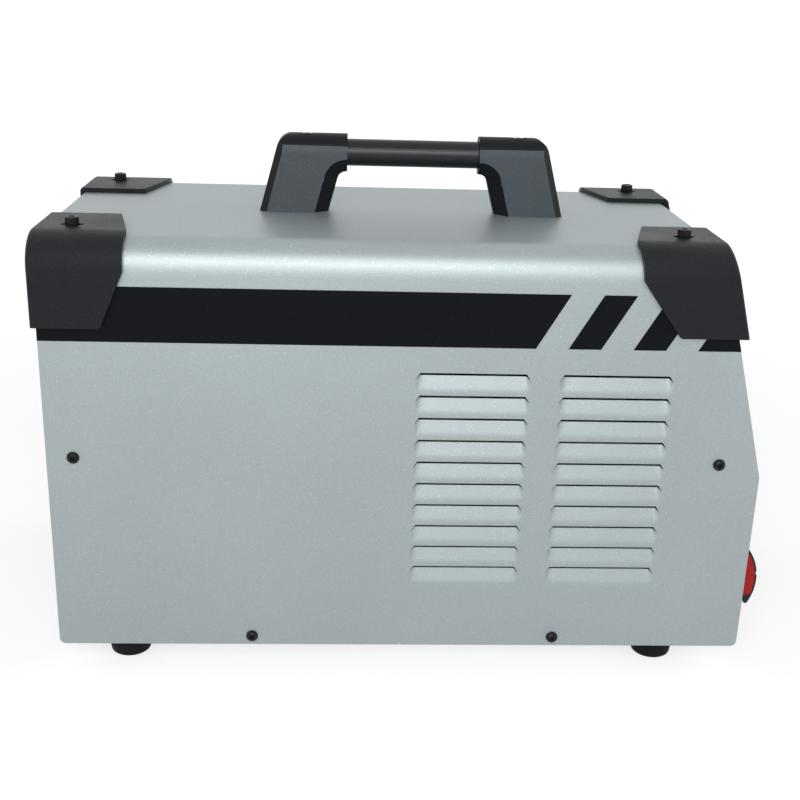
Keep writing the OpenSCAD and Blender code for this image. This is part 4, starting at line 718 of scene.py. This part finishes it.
def makeGuard(end, side):
    s, e = guardShape, guardShape[end]
    isFront = end == "front"
    inward = -1 if isFront else 1  # from the end wall towards the middle
    bm = foldedSheet(s, e["end"], e["start"], -s["side"], -e["tip"])

    def endX(z):
        return guardFront(z) if isFront else e["end"]

    def onEnd(co):
        return abs(co.x - endX(co.z)) < 0.01

    for vert in bm.verts:
        if abs(vert.co.x - e["end"]) < 0.1:
            vert.co.x = endX(vert.co.z)
    # the end wall, trimmed by its own slant
    loop = sorted((v for v in bm.verts if onEnd(v.co)), key=lambda v: v.co.z * 2 + (v.co.y + s["side"]))
    extra = ((-e["tip"], s["knee"]), (-s["endFoot"], s["low"]))
    bm.faces.new(loop + [bm.verts.new((endX(z), y, z)) for y, z in extra])
    cuts = [((a[0], 0, a[1]), (b[1] - a[1], 0, a[0] - b[0])) for a, b in e["side"]]
    a, b = e["plan"]
    cuts.append(((a[0], a[1], 0), (b[1] - a[1], a[0] - b[0], 0)))
    for point, normal in cuts:
        away = Vector(normal) * (1 if normal[0] * inward > 0 else -1)
        ops.bisect_plane(bm, geom=everything(bm), plane_co=point, plane_no=away, clear_outer=True)
    roundedAt(bm, [v for v in bm.verts if len(v.link_edges) == 2 and v.calc_edge_angle(0) > 0.2], s["corner"])
    # the screw slot in the top
    inside = 1 - s["side"] + s["bend"]
    top = [face for face in allIn(bm.faces, lambda co: abs(co.z - s["top"]) < 0.01)
           if face.calc_center_median().y > inside]
    edges = list(dict.fromkeys(edge for face in top for edge in face.edges))
    ops.delete(bm, geom=top, context="FACES_ONLY")
    slot = roundedBox(s["slotLength"], s["slotWidth"], s["slotWidth"] / 2, 4)
    edges += ringOf(bm, [(e["screwX"] + x, y - s["screwY"], s["top"]) for x, y in slot])
    ops.triangle_fill(bm, edges=edges, use_beauty=True, normal=(0, 0, 1))
    topUp(bm)
    softened(bm, s["endRound"], edges=allIn(sharpEdges(bm, 0.7), onEnd), segments=4)
    moved(bm, at(caseX, 0, 0))
    if side == "right":
        ops.scale(bm, vec=(1, -1, 1), verts=bm.verts)
        ops.reverse_faces(bm, faces=bm.faces)
    guard = newPiece("guard." + end + "." + side, bm, ["guard"], "guard_plastic", ["guard_" + end + "_" + side],
                     angle=35, kept=bendEdges(bm, s["bend"], -s["side"], s["top"]))
    thickened(guard, s["wall"], s["rim"], 3, "ANGLE")


for end in ("rear", "front"):
    for side in ("left", "right"):
        makeGuard(end, side)
print("corner guards folded")


# screws with sockets

screwShape = {
    "cap": {"outline": [(0, -12), (2.5, -12), (2.5, 0), (3.95, 0), (4.25, 0.3), (4.25, 4.4), (4.07, 4.82), (3.65, 5),
                        (0, 5)], "steps": 48, "socket": ringPoints(2.3, 6), "deep": 2.5, "taper": 1.0},
    "pan": {"outline": [(0, -8), (2, -8), (2, 0), (3.85, 0), (4, 0.25), (3.9, 0.9), (3.55, 1.6), (3, 2.15),
                        (2.3, 2.5), (0, 2.5)], "steps": 40, "socket": cross(1.9, 0.425), "deep": 1.5, "taper": 0.55},
    "lock": {"outline": [(0, -4), (1.5, -4), (1.5, 0), (3.5, 0), (3.5, 1.0), (3.0, 1.5), (0, 1.5)], "steps": 32,
             "socket": ringPoints(1.4, 6), "deep": 1.0, "taper": 1.0},
    # period and sunk steps of it, share of the radius, from and to along the axis, least radius
    "knurl": (2, (1,), 0.045, 0.1, 4.7, 4.15),
    "panPlaces": [(-213, 151), (202.09, 151), (-101.7, 22.6), (101.7, 22.6)],
}


def grooved(bm, steps, period, sunk, depth, low, high, radius):
    # sinks some of every period of steps round X
    for vert in bm.verts:
        if low < vert.co.x < high and hypot(vert.co.y, vert.co.z) > radius:
            step = round(atan2(vert.co.z, vert.co.y) / (2 * pi) * steps)
            vert.co.yz *= 1 - depth * (step % period in sunk)


def withSocket(bm, outline, height, depth, taper):
    # replaces a flat round end at x = height by one with a sunk socket
    end = allIn(bm.faces, lambda co: abs(co.x - height) < 0.001)
    edges = [edge for edge in bm.edges if sum(face in end for face in edge.link_faces) == 1]
    ops.delete(bm, geom=end, context="FACES")
    ring = ringOf(bm, [(height, y, z) for y, z in outline])
    ops.triangle_fill(bm, edges=edges + ring, use_beauty=True, normal=(1, 0, 0))
    grown = ops.extrude_edge_only(bm, edges=ring)
    pulled(bm, grown, (-depth, 0, 0))
    ops.scale(bm, vec=(1, taper, taper), verts=only(BMVert, grown["geom"]))
    ops.contextual_create(bm, geom=only(BMEdge, grown["geom"]))
    outward(bm)
    return bm


def newScrew(kind):
    s = screwShape[kind]
    bm = turnedOn(s["outline"], steps=s["steps"])
    if kind == "cap":
        grooved(bm, s["steps"], *screwShape["knurl"])
    return withSocket(bm, s["socket"], s["outline"][-1][1], s["deep"], s["taper"])


def makeScrews():
    cap, pan = newScrew("cap"), newScrew("pan")
    caps, pans = bmesh.new(), bmesh.new()
    for side in (-1, 1):
        for end in ("rear", "front"):
            x = guardShape[end]["screwX"] + caseX
            added(caps, cap, upright(x, side * guardShape["screwY"], guardShape["top"]))
        for x, z in screwShape["panPlaces"]:
            place = at(x + caseX, side * coverShape["halfWidth"], z) @ turned(side * pi / 2, "Z")
            added(pans, pan, place @ turned(0.35 + x * 0.013, "X"))  # no two sockets stand alike
    newPiece("guardCapScrews", caps, ["screw"], "black_screw", ["guard_screws"])
    newPiece("coverPanScrews", pans, ["screw"], "black_screw", ["cover_screws"])
    cap.free()
    pan.free()


makeScrews()
print("screws set")


# carrying handle

handleShape = {
    "middle": 2.5 + caseX, "axisZ": 330.5, "radius": 9.0, "half": 78.35, "wall": 1.5, "edge": 0.9, "tubeEdge": 0.4,
    # long edges above the foot are ridges, with a wider round
    "foot": 291.0, "ridgeAbove": 15.0, "ridgeLength": 18.0, "ridge": 1.8,
    "litSideFacing": 0.9,  # sides that look along Y keep the plastic's colour and grain; edges, top and ends are smoother and take a much darker copy of it, painted shade
    "lockX": 71.7, "lockZ": 341.2,
}


def mergedCopy(node):
    # a CAD node as one merged mesh of flat faces, in millimetres
    bm = bmesh.new()
    bm.from_mesh(nodes[node].data)
    ops.scale(bm, vec=(1000, 1000, 1000), verts=bm.verts)
    ops.remove_doubles(bm, verts=bm.verts, dist=0.003)
    ops.dissolve_limit(bm, angle_limit=0.004, verts=bm.verts, edges=bm.edges)
    return bm


def makeHandle():
    s = handleShape
    for end in ("rear", "front"):
        bm = mergedCopy("handle_post_" + end)
        ridges = [edge for edge in sharpEdges(bm, 0.5) if edge.calc_length() > s["ridgeLength"]
                  and max(v.co.z for v in edge.verts) > s["foot"] + s["ridgeAbove"]]
        softened(bm, s["ridge"], edges=ridges, segments=4)
        softened(bm, s["edge"], segments=3)
        # faces that look along Y take the plastic's colour, all others its much darker copy, painted shade
        for face in bm.faces:
            face.material_index = 0 if abs(face.normal.y) > s["litSideFacing"] else 1
        newPiece("handlePost." + end, bm, ["post", "postPaintedShade"], "handle_plastic", ["handle_post_" + end], angle=35)
    outer, half, edge = s["radius"], s["half"], s["tubeEdge"]
    inner = outer - s["wall"]
    tube = turnedOn([(inner, -half), (outer - edge, -half), (outer, edge - half), (outer, half - edge),
                     (outer - edge, half), (inner, half)], at(s["middle"], 0, s["axisZ"]), steps=64)
    newPiece("handleTube", tube, ["tube"], "tube_black", ["handle_tube"], angle=35)
    lock, bm = newScrew("lock"), bmesh.new()
    for side in (-1, 1):
        added(bm, lock, upright(s["middle"] + side * s["lockX"], 0, s["lockZ"]))
    lock.free()
    newPiece("handleLockScrews", bm, ["screw"], "black_screw", ["handle_lock_screws"])


makeHandle()
print("handle made")


# feet

footShape = {
    "x": {"rear": -187, "front": 177}, "y": {"left": -90, "right": 90}, "wide": 1.08,
    "outline": [(2.7, 15.9), (2.7, 8), (6, 8), (6, 0.8), (6.6, 0.1), (7, 0), (10.4, 0), (11.5, 0.25), (12.2, 0.9),
                (12.55, 1.9), (13.0, 6.2), (13.1, 6.5), (12.9, 6.9), (12.95, 7.3), (13.2, 7.6), (13.9, 14.6),
                (13.85, 15.3), (13.4, 15.9)],
}
outline = [(radius * footShape["wide"], height) for radius, height in footShape["outline"]]
for end, x in footShape["x"].items():
    for side, y in footShape["y"].items():
        bm = turnedOn(outline, upright(x + caseX, y, 0), steps=56)
        place = end + "_" + side
        newPiece("foot." + place, bm, ["rubber"], "foot_rubber", ["foot_" + place], angle=35)
print("feet turned")


# power switch

rockerShape = {
    "y": -82.0, "height": 45.0, "width": 30.0, "out": 16.0, "radius": 38.0, "half": 22.5, "skin": 1.7, "back": 3.1,
    "backGap": 0.3, "skinLeast": 0.35, "tilt": radians(-8), "pivotIn": 5.0, "crease": 0.8, "steps": 24, "edge": 0.5,
    "red": (-16.0, 19.5),  # heights between which the body behind the skin is red
    "stemY": 11.5, "stemZ": 12.0, "stem": (-14.0, 4.0), "stemFoot": 7 / 12,
    "signAt": radians(17), "sign": (-0.3, 0.2), "bar": (1.0, 4.0), "ring": (3.0, 4.2),
}


def makeRocker():
    s = rockerShape
    half, radius, back = s["half"], s["radius"], s["back"]
    centre = s["out"] - radius
    reach = asin(half / radius)
    backEnd = back + s["backGap"] + half * tan(-s["tilt"])
    bm = bmesh.new()
    first = bm.verts.new((centre + radius * cos(reach), -s["width"] / 2, -radius * sin(reach)))
    ops.spin(bm, geom=[first], cent=(centre, 0, 0), axis=(0, -1, 0), angle=2 * reach, steps=s["steps"])
    ops.remove_doubles(bm, verts=bm.verts, dist=0.001)
    edges = bm.edges[:]
    for layer in (0, 1):  # the skin, then the body behind it
        grown = ops.extrude_edge_only(bm, edges=edges)["geom"]
        edges = [edge for edge in only(BMEdge, grown) if all(v in grown for v in edge.verts)]
        for face in only(BMFace, grown):
            face.material_index = layer
        for vert in {v for edge in edges for v in edge.verts}:
            backX = back + (backEnd - back) * min(abs(vert.co.z) / half, 1.0)
            vert.co.x = backX if layer else max(vert.co.x - s["skin"], backX + s["skinLeast"])
    for vert in bm.verts:  # the crease across the middle of the front
        if abs(vert.co.z) < 0.01 and vert.co.x > s["out"] - 0.1:
            vert.co.x -= s["crease"]
    pulled(bm, ops.extrude_face_region(bm, geom=bm.faces[:]), (0, s["width"], 0))
    outward(bm)
    for face in bm.faces:
        middle = face.calc_center_median()
        if abs(face.normal.y) < 0.5:
            onSkin = face.normal.x > 0.3 or hypot(middle.x - centre, middle.z) > radius - 0.9
            face.material_index = 0 if onSkin else 1
        if not s["red"][0] < middle.z < s["red"][1]:
            face.material_index = 0
    softened(bm, s["edge"], angle=0.7)
    stem = prism(box(s["stemY"], s["stemZ"]), *s["stem"], cover=1)
    for vert in stem.verts:
        if vert.co.x < s["stem"][0] + 1:
            vert.co.z *= s["stemFoot"]

    def onFace(turn):
        return at(centre, 0, 0) @ turned(turn, "Y") @ at(radius, 0, 0)

    low, high = s["sign"]
    bar = prism(box(*s["bar"]), low, high, onFace(-s["signAt"]), cover=2)
    inner, outer = s["ring"]
    ring = turnedOn([(inner, low), (outer, low), (outer, high), (inner, high)], onFace(s["signAt"]), steps=32, cover=2)
    swing = at(-s["pivotIn"], 0, 0) @ turned(s["tilt"], "Y") @ at(s["pivotIn"], 0, 0)
    whole = moved(joined([bm, stem, ring, bar]), onFront(s["y"], s["height"]) @ swing)
    newPiece("powerRocker", whole, ["black", "red", "white"], "red_plastic", ["switch_rocker"], body="rocker", angle=28)


makeRocker()
print("power switch made")


# front panel: knob with its scale, lamps, meter and sockets

knobShape = {
    "y": 48.0, "along": 52.0, "steps": 196, "flutes": 14, "fluteRadius": 1.5, "fluteAt": 13.25,
    "gripRadius": 11.0, "gripStart": 7.2,
    "outline": [(0, 1.6), (13.2, 1.6), (14.2, 0.6), (14.7, 0.6), (15.0, 0.9), (15.0, 4.2), (14.75, 4.7),
                (12.8, 6.8), (12.5, 7.4), (12.5, 15.9), (12.3, 16.7), (11.7, 17.4), (11.1, 17.6), (10.2, 17.6),
                (9.6, 17.3), (0, 17.2)],
    "pointer": [(-0.7, 3.2), (0.7, 3.2), (0.7, 10.2), (-0.7, 10.2)], "pointerX": (16.8, 17.45), "pointerEdge": 0.12,
}


def makeKnob():
    s = knobShape
    bm = turnedOn(s["outline"], steps=s["steps"])
    pitch = 2 * pi / s["flutes"]
    for vert in bm.verts:
        radius = hypot(vert.co.y, vert.co.z)
        if radius > s["gripRadius"] and vert.co.x > s["gripStart"]:
            off = ((atan2(vert.co.y, vert.co.z) / pitch) % 1 - 0.5) * pitch
            reach = s["fluteRadius"] ** 2 - (s["fluteAt"] * sin(off)) ** 2
            if reach > 0:
                vert.co.yz *= min(1.0, (s["fluteAt"] * cos(off) - sqrt(reach)) / radius)
    pointer = softened(prism(s["pointer"], *s["pointerX"], cover=1), s["pointerEdge"])
    knob = moved(joined([bm, pointer]), onLean(s["y"], s["along"]))
    newPiece("voltageKnob", knob, ["black", "white"], "black_plastic", ["voltage_knob"], body="knob", angle=28)


markShape = {
    "film": 0.12, "turn": radians(150), "ticks": 11, "tick": (17.4, 20.4), "tickWidth": 0.7,
    "band": 22.0, "thin": 0.3, "thick": 2.4, "bandSteps": 72, "signHeight": 92.0, "signHalf": 4.0, "stroke": 0.8,
}


def makeMarks():
    s = markShape
    film, half = s["film"], s["tickWidth"] / 2
    near, far = s["tick"]
    dial = onLean(knobShape["y"], knobShape["along"])
    parts = []
    for i in range(s["ticks"]):
        turn = s["turn"] * (2 * i / (s["ticks"] - 1) - 1)
        tick = [(-half, near), (half, near), (half, far), (-half, far)]
        parts.append(prism(tick, 0, film, dial @ turned(-turn, "X")))
    inside, outside = [], []
    for i in range(s["bandSteps"] + 1):
        share = i / s["bandSteps"]
        turn = s["turn"] * (2 * share - 1)
        reach = s["band"] + s["thin"] + (s["thick"] - s["thin"]) * share
        inside.append((s["band"] * sin(turn), s["band"] * cos(turn)))
        outside.append((reach * sin(turn), reach * cos(turn)))
    parts.append(prism(inside + outside[::-1], 0, film, dial))
    for name, sign in (("minus", box), ("plus", cross)):
        place = onFront(socketShape["places"][name], s["signHeight"])
        parts.append(prism(sign(s["signHalf"], s["stroke"]), 0, film, place))
    newPiece("panelMarks", joined(parts), ["white"], "dark_panel", angle=35)


lampShape = {
    "y": -36.0, "along": {"power": 40.0, "ready": 64.0}, "lens": 4.0, "middle": 1.5, "barrel": -18.0, "steps": 9,
    "bezel": [(4.02, 0), (6.0, 0), (6.0, 0.5), (5.8, 0.9), (5.35, 2.1), (5.0, 2.45), (4.5, 2.5), (4.15, 2.15),
              (4.02, 1.4)],
}


def makeLamps():
    s = lampShape
    lens, middle, step = s["lens"], s["middle"], pi / 2 / s["steps"]
    dome = [(lens * cos(i * step), middle + lens * sin(i * step)) for i in range(s["steps"])]
    outline = [(0, s["barrel"]), (lens, s["barrel"])] + dome + [(0, middle + lens)]
    for name, color in (("power", "green"), ("ready", "amber")):
        place = onLean(s["y"], s["along"][name])
        parts = [turnedOn(s["bezel"], place), turnedOn(outline, place, cover=1)]
        newPiece(name + "Lamp", joined(parts), ["nickel", color], color + "_lens", [name + "_lamp"])


meterShape = {
    "along": 112.0, "width": 66.0, "height": 34.0,
    # how much smaller than the bezel, distance from the panel and corner of each loop, from outside in
    "loops": [(0, 0, 2.5), (0, 2.3, 2.5), (0.4, 2.8, 2.3), (1.2, 3.0, 1.9), (8.6, 3.0, 1.6), (9.4, 2.7, 1.3),
              (9.9, 2.2, 1.0), (10.0, 1.35, 0.9)],
    "digits": 3, "step": 14.5, "digitWidth": 8.0, "digitHeight": 15.0, "stroke": 1.0, "slant": 0.12,
    "lyingGap": 0.35, "standingLap": 0.25, "segment": (2.83, 2.88),
}


def pointed(start, end, half):
    # a bar with pointed ends, as a closed outline
    return [(start, 0), (start + half, half), (end - half, half), (end, 0), (end - half, -half), (start + half, -half)]


def makeMeter():
    s = meterShape
    place = onLean(0, s["along"])
    bm, rings = bmesh.new(), []
    for less, x, corner in s["loops"]:
        outline = roundedBox(s["width"] - less, s["height"] - less, corner, 6)
        rings.append(ringOf(bm, [(x, y, z) for y, z in outline]))
    for outer, inner in zip(rings, rings[1:]):
        ops.bridge_loops(bm, edges=outer + inner)
    ops.contextual_create(bm, geom=rings[-1])
    outward(bm)
    if max(bm.faces, key=lambda face: face.calc_area()).normal.x < 0:
        ops.reverse_faces(bm, faces=bm.faces)
    newPiece("meterBezel", moved(bm, place), ["black"], "black_plastic", ["meter_housing"])
    w, h, k = s["digitWidth"] / 2, s["digitHeight"] / 2, s["stroke"]
    reach, lap = w - k - s["lyingGap"], s["standingLap"]
    lying = pointed(-reach, reach, k)
    standing = [(y, z) for z, y in pointed(k - lap, h - k + lap, k)]
    bars = [[(y, z + level) for y, z in lying] for level in (k - h, 0, h - k)]
    bars += [[(y + side * (w - k), z * up) for y, z in standing] for side in (-1, 1) for up in (-1, 1)]
    parts = []
    for digit in range(s["digits"]):
        middle = (digit - (s["digits"] - 1) / 2) * s["step"]
        for bar in bars:
            parts.append(prism([(middle + y + s["slant"] * z, z) for y, z in bar], *s["segment"], place))
    newPiece("meterDigits", joined(parts), ["segment"], "meter_window", angle=35)


socketShape = {
    "places": {"minus": -14.0, "plus": 66.0}, "height": 62.0,
    "outline": [(11.15, -3), (16, -3), (16, 0), (21.3, 0), (22, 0.7), (22, 5.0), (21.5, 5.5), (21.5, 6.1), (22, 6.6),
                (22, 17.4), (21.6, 18.7), (20.7, 19.6), (19.4, 20), (14.4, 20), (13.75, 19.75), (13.3, 19.1),
                (11.5, 16.5), (11.15, 16)],
    "gunY": 26.0, "gunHeight": 104.0,
    # start, pitch, turns, crest, root and the slopes' share of a turn
    "thread": (4.2, 1.0, 6, 8.0, 7.55, 0.4),
    "flange": [(6.2, -4), (8, -4), (8, 0), (9.6, 0), (10, 0.4), (10, 2.6), (9.6, 3), (7.55, 3), (7.55, 4.2)],
    "mouth": [(7.5, 10.7), (7.2, 11), (6.5, 11), (6.2, 10.7)],
    "insert": [(0, -4), (6.05, -4), (6.05, 9.1), (5.7, 9.5), (0, 9.5)],
    "pin": [(0, 8), (1.0, 8), (1.0, 10.0), (0.8, 10.35), (0.4, 10.5), (0, 10.5)], "pinAt": 3.03,
}


def threaded(start, pitch, turns, middle, end, share):
    # an outline that goes to a middle radius and back to its end radius at every turn
    points = []
    for x in (start + i * pitch for i in range(turns)):
        points += [(middle, x + share * pitch), (middle, x + (1 - share) * pitch), (end, x + pitch)]
    return points


def makeSockets():
    s = socketShape
    for name, y in s["places"].items():
        bm = turnedOn(s["outline"], onFront(y, s["height"]), steps=96)
        newPiece("weldSocket." + name, bm, ["black"], "black_plastic", ["weld_socket_" + name], angle=32)
    place = onFront(s["gunY"], s["gunHeight"])
    ring = turnedOn(s["flange"] + threaded(*s["thread"]) + s["mouth"], place, steps=64)
    newPiece("gunSocket", ring, ["nickel"], "nickel", ["gun_socket"])
    parts = [turnedOn(s["insert"], place)]
    for i in range(4):
        parts.append(turnedOn(s["pin"], place @ diagonal(i) @ at(0, 0, s["pinAt"]), 20, 1))
    newPiece("gunInsert", joined(parts), ["black", "brass"], "black_plastic", ["gun_socket_insert"], angle=32)


makeKnob()
makeMarks()
makeLamps()
makeMeter()
makeSockets()
print("front panel fitted")


# rear panel: fan grille and its screws, cable gland and earth stud

grilleShape = {
    "height": 145.0, "wire": 1.1, "rings": [14.4, 25.2, 35.9, 46.7, 57.5], "ringX": 4.54, "spokeX": 3.0,
    "spoke": (14.4, 70.2), "corner": 52.5, "screwX": 4.6, "screwShare": 3.75 / 4.0,
    "eyelet": [(2.2, 0.4), (2.6, 0), (5.0, 0), (5.5, 0.5), (5.5, 3.4), (5.0, 4.2), (4.2, 4.6), (2.8, 4.6), (2.2, 4.1)],
}


def makeGrille():
    s = grilleShape
    place = onRear(0, s["height"])
    section = ringPoints(s["wire"], 12)
    parts = []
    for radius in s["rings"]:
        ring = [(radius + y, s["ringX"] + x) for y, x in section]
        parts.append(turnedOn(ring, place, steps=int(32 + radius)))
    screw = newScrew("pan")
    ops.scale(screw, vec=(1, s["screwShare"], s["screwShare"]), verts=screw.verts)
    screws = bmesh.new()
    for i in range(4):
        arm = place @ diagonal(i)
        parts.append(prism(section, *s["spoke"], arm @ upright(s["spokeX"], 0, 0)))
        corner = arm @ at(0, 0, s["corner"] * sqrt(2))
        parts.append(turnedOn(s["eyelet"], corner, steps=32))
        added(screws, screw, corner @ at(s["screwX"], 0, 0) @ turned(0.4 + i, "X"))
    screw.free()
    newPiece("fanGrille", joined(parts), ["nickel"], "zinc", ["fan_grille"], angle=40)
    newPiece("fanScrews", screws, ["zinc"], "zinc", ["fan_screws"])


glandShape = {
    "y": 72.0, "height": 40.0, "hex": 15.5, "hexLength": 8.0, "edge": 0.7, "steps": 96,
    "ribs": (4, (0, 1), 0.03, 8.6, 21.0, 13.0),  # as the screws' knurl
    "cap": [(8, 8), (13.1, 8), (13.5, 8.4), (13.5, 9.2), (13.5, 20.6), (13.4, 21.8), (12.9, 23.6), (12.0, 25.6),
            (10.7, 27.8), (9.5, 29.3), (8.8, 29.9), (8.2, 30), (7.7, 29.7), (7.6, 28.6), (8, 20)],
    "seal": [(5.5, -13), (8.6, -13), (8.6, 8), (7.6, 28.4), (7.2, 28.7), (6.2, 28.5), (5.5, 27.6)],
}


def makeGland():
    s = glandShape
    place = onRear(s["y"], s["height"])
    hexagon = softened(prism(ringPoints(s["hex"], 6), 0, s["hexLength"], place), s["edge"], segments=3)
    cap = turnedOn(s["cap"], steps=s["steps"])
    grooved(cap, s["steps"], *s["ribs"])
    parts = [hexagon, moved(cap, place), turnedOn(s["seal"], place, cover=1)]
    newPiece("cableGland", joined(parts), ["black", "rubber"], "black_plastic", ["cable_gland"])


earthShape = {
    "y": 24.0, "height": 34.0, "radius": 4.0, "root": 3.35, "start": 8.1, "turns": 10, "pitch": 1.25, "slope": 0.45,
    "inside": -12.0, "tip": [(3.35, 21.9), (3.05, 22.1), (0, 22.1)],
    "washer": [(3.9, 0), (8.2, 0), (8.5, 0.3), (8.5, 1.3), (8.2, 1.6), (3.9, 1.6)], "nut": 7.5, "nutEdge": 0.5,
}


def makeEarth():
    s = earthShape
    place = onRear(s["y"], s["height"])
    radius, start = s["radius"], s["start"]
    outline = [(0, s["inside"]), (radius, s["inside"]), (radius, start)]
    outline += threaded(start, s["pitch"], s["turns"], s["root"], radius, s["slope"]) + s["tip"]
    nut = softened(prism(ringPoints(s["nut"], 6), s["washer"][-1][1], start, place), s["nutEdge"])
    parts = [turnedOn(outline, place, 40), turnedOn(s["washer"], place), nut]
    newPiece("earthStud", joined(parts), ["brass"], "brass", ["earth_stud"])


makeGrille()
makeGland()
makeEarth()
print("rear panel fitted")


# sheet and moulded pieces that keep their CAD form get softened edges

cheekShape = {"base": caseX + panelX + 2.5, "lowered": 0.6}
softShape = {
    # node, finish, slot, width of the softened edges and body
    "switchHousing": ("switch_housing", "black", "black_plastic", 0.6, "machine"),
    "frontPanel": ("front_panel", "panel", "dark_panel", 0.3, "machine"),
    "rearPanel": ("rear_panel", "panel", "dark_panel", 0.3, "machine"),
    "basePan": ("base_pan", "zinc", "zinc", 0.3, "machine"),
    "fanFrame": ("fan_frame", "black", "black_plastic", 0.6, "machine"),
    "fanRotor": ("fan_rotor", "black", "black_plastic", 0.4, "fan"),
    "contact.minus": ("socket_contact_minus", "brass", "brass", 0.35, "machine"),
    "contact.plus": ("socket_contact_plus", "brass", "brass", 0.35, "machine"),
}
for name, (node, coat, slot, width, body) in softShape.items():
    bm = mergedCopy(node)
    if name == "switchHousing":
        for vert in bm.verts:  # the cheeks beside the rocker are kept low
            vert.co.x -= max(0.0, vert.co.x - cheekShape["base"]) * cheekShape["lowered"]
    newPiece(name, softened(bm, width), [coat], slot, [node], body=body)
print("CAD forms softened:", len(softShape))


# finishes of the CAD nodes that stay, the rest of them black

nodeFinish = {
    "zinc": ["handle_bolts", "foot_screws", "potentiometer"], "film": ["stripe_left", "stripe_right"],
    "nickel": ["knob_shaft"], "window": ["meter_window"], "tray": ["capacitor_tray"],
    "sleeve": ["capacitor_1", "capacitor_2", "capacitor_3", "capacitor_4"],
    "copper": ["busbar_plus", "busbar_minus", "busbar_output"], "core": ["transformer_core"],
    "varnish": ["transformer_coil"], "anodised": ["heat_sink"], "gold": ["bleeder_resistor"],
    "board": ["control_board"], "brass": ["board_standoffs"],
}
nodeCoats = {name: coat for coat, names in nodeFinish.items() for name in names}
for name, node in nodes.items():
    node.data.materials.clear()
    node.data.materials.append(finishes[nodeCoats.get(name, "black")])
print("CAD nodes finished:", len(nodeCoats))
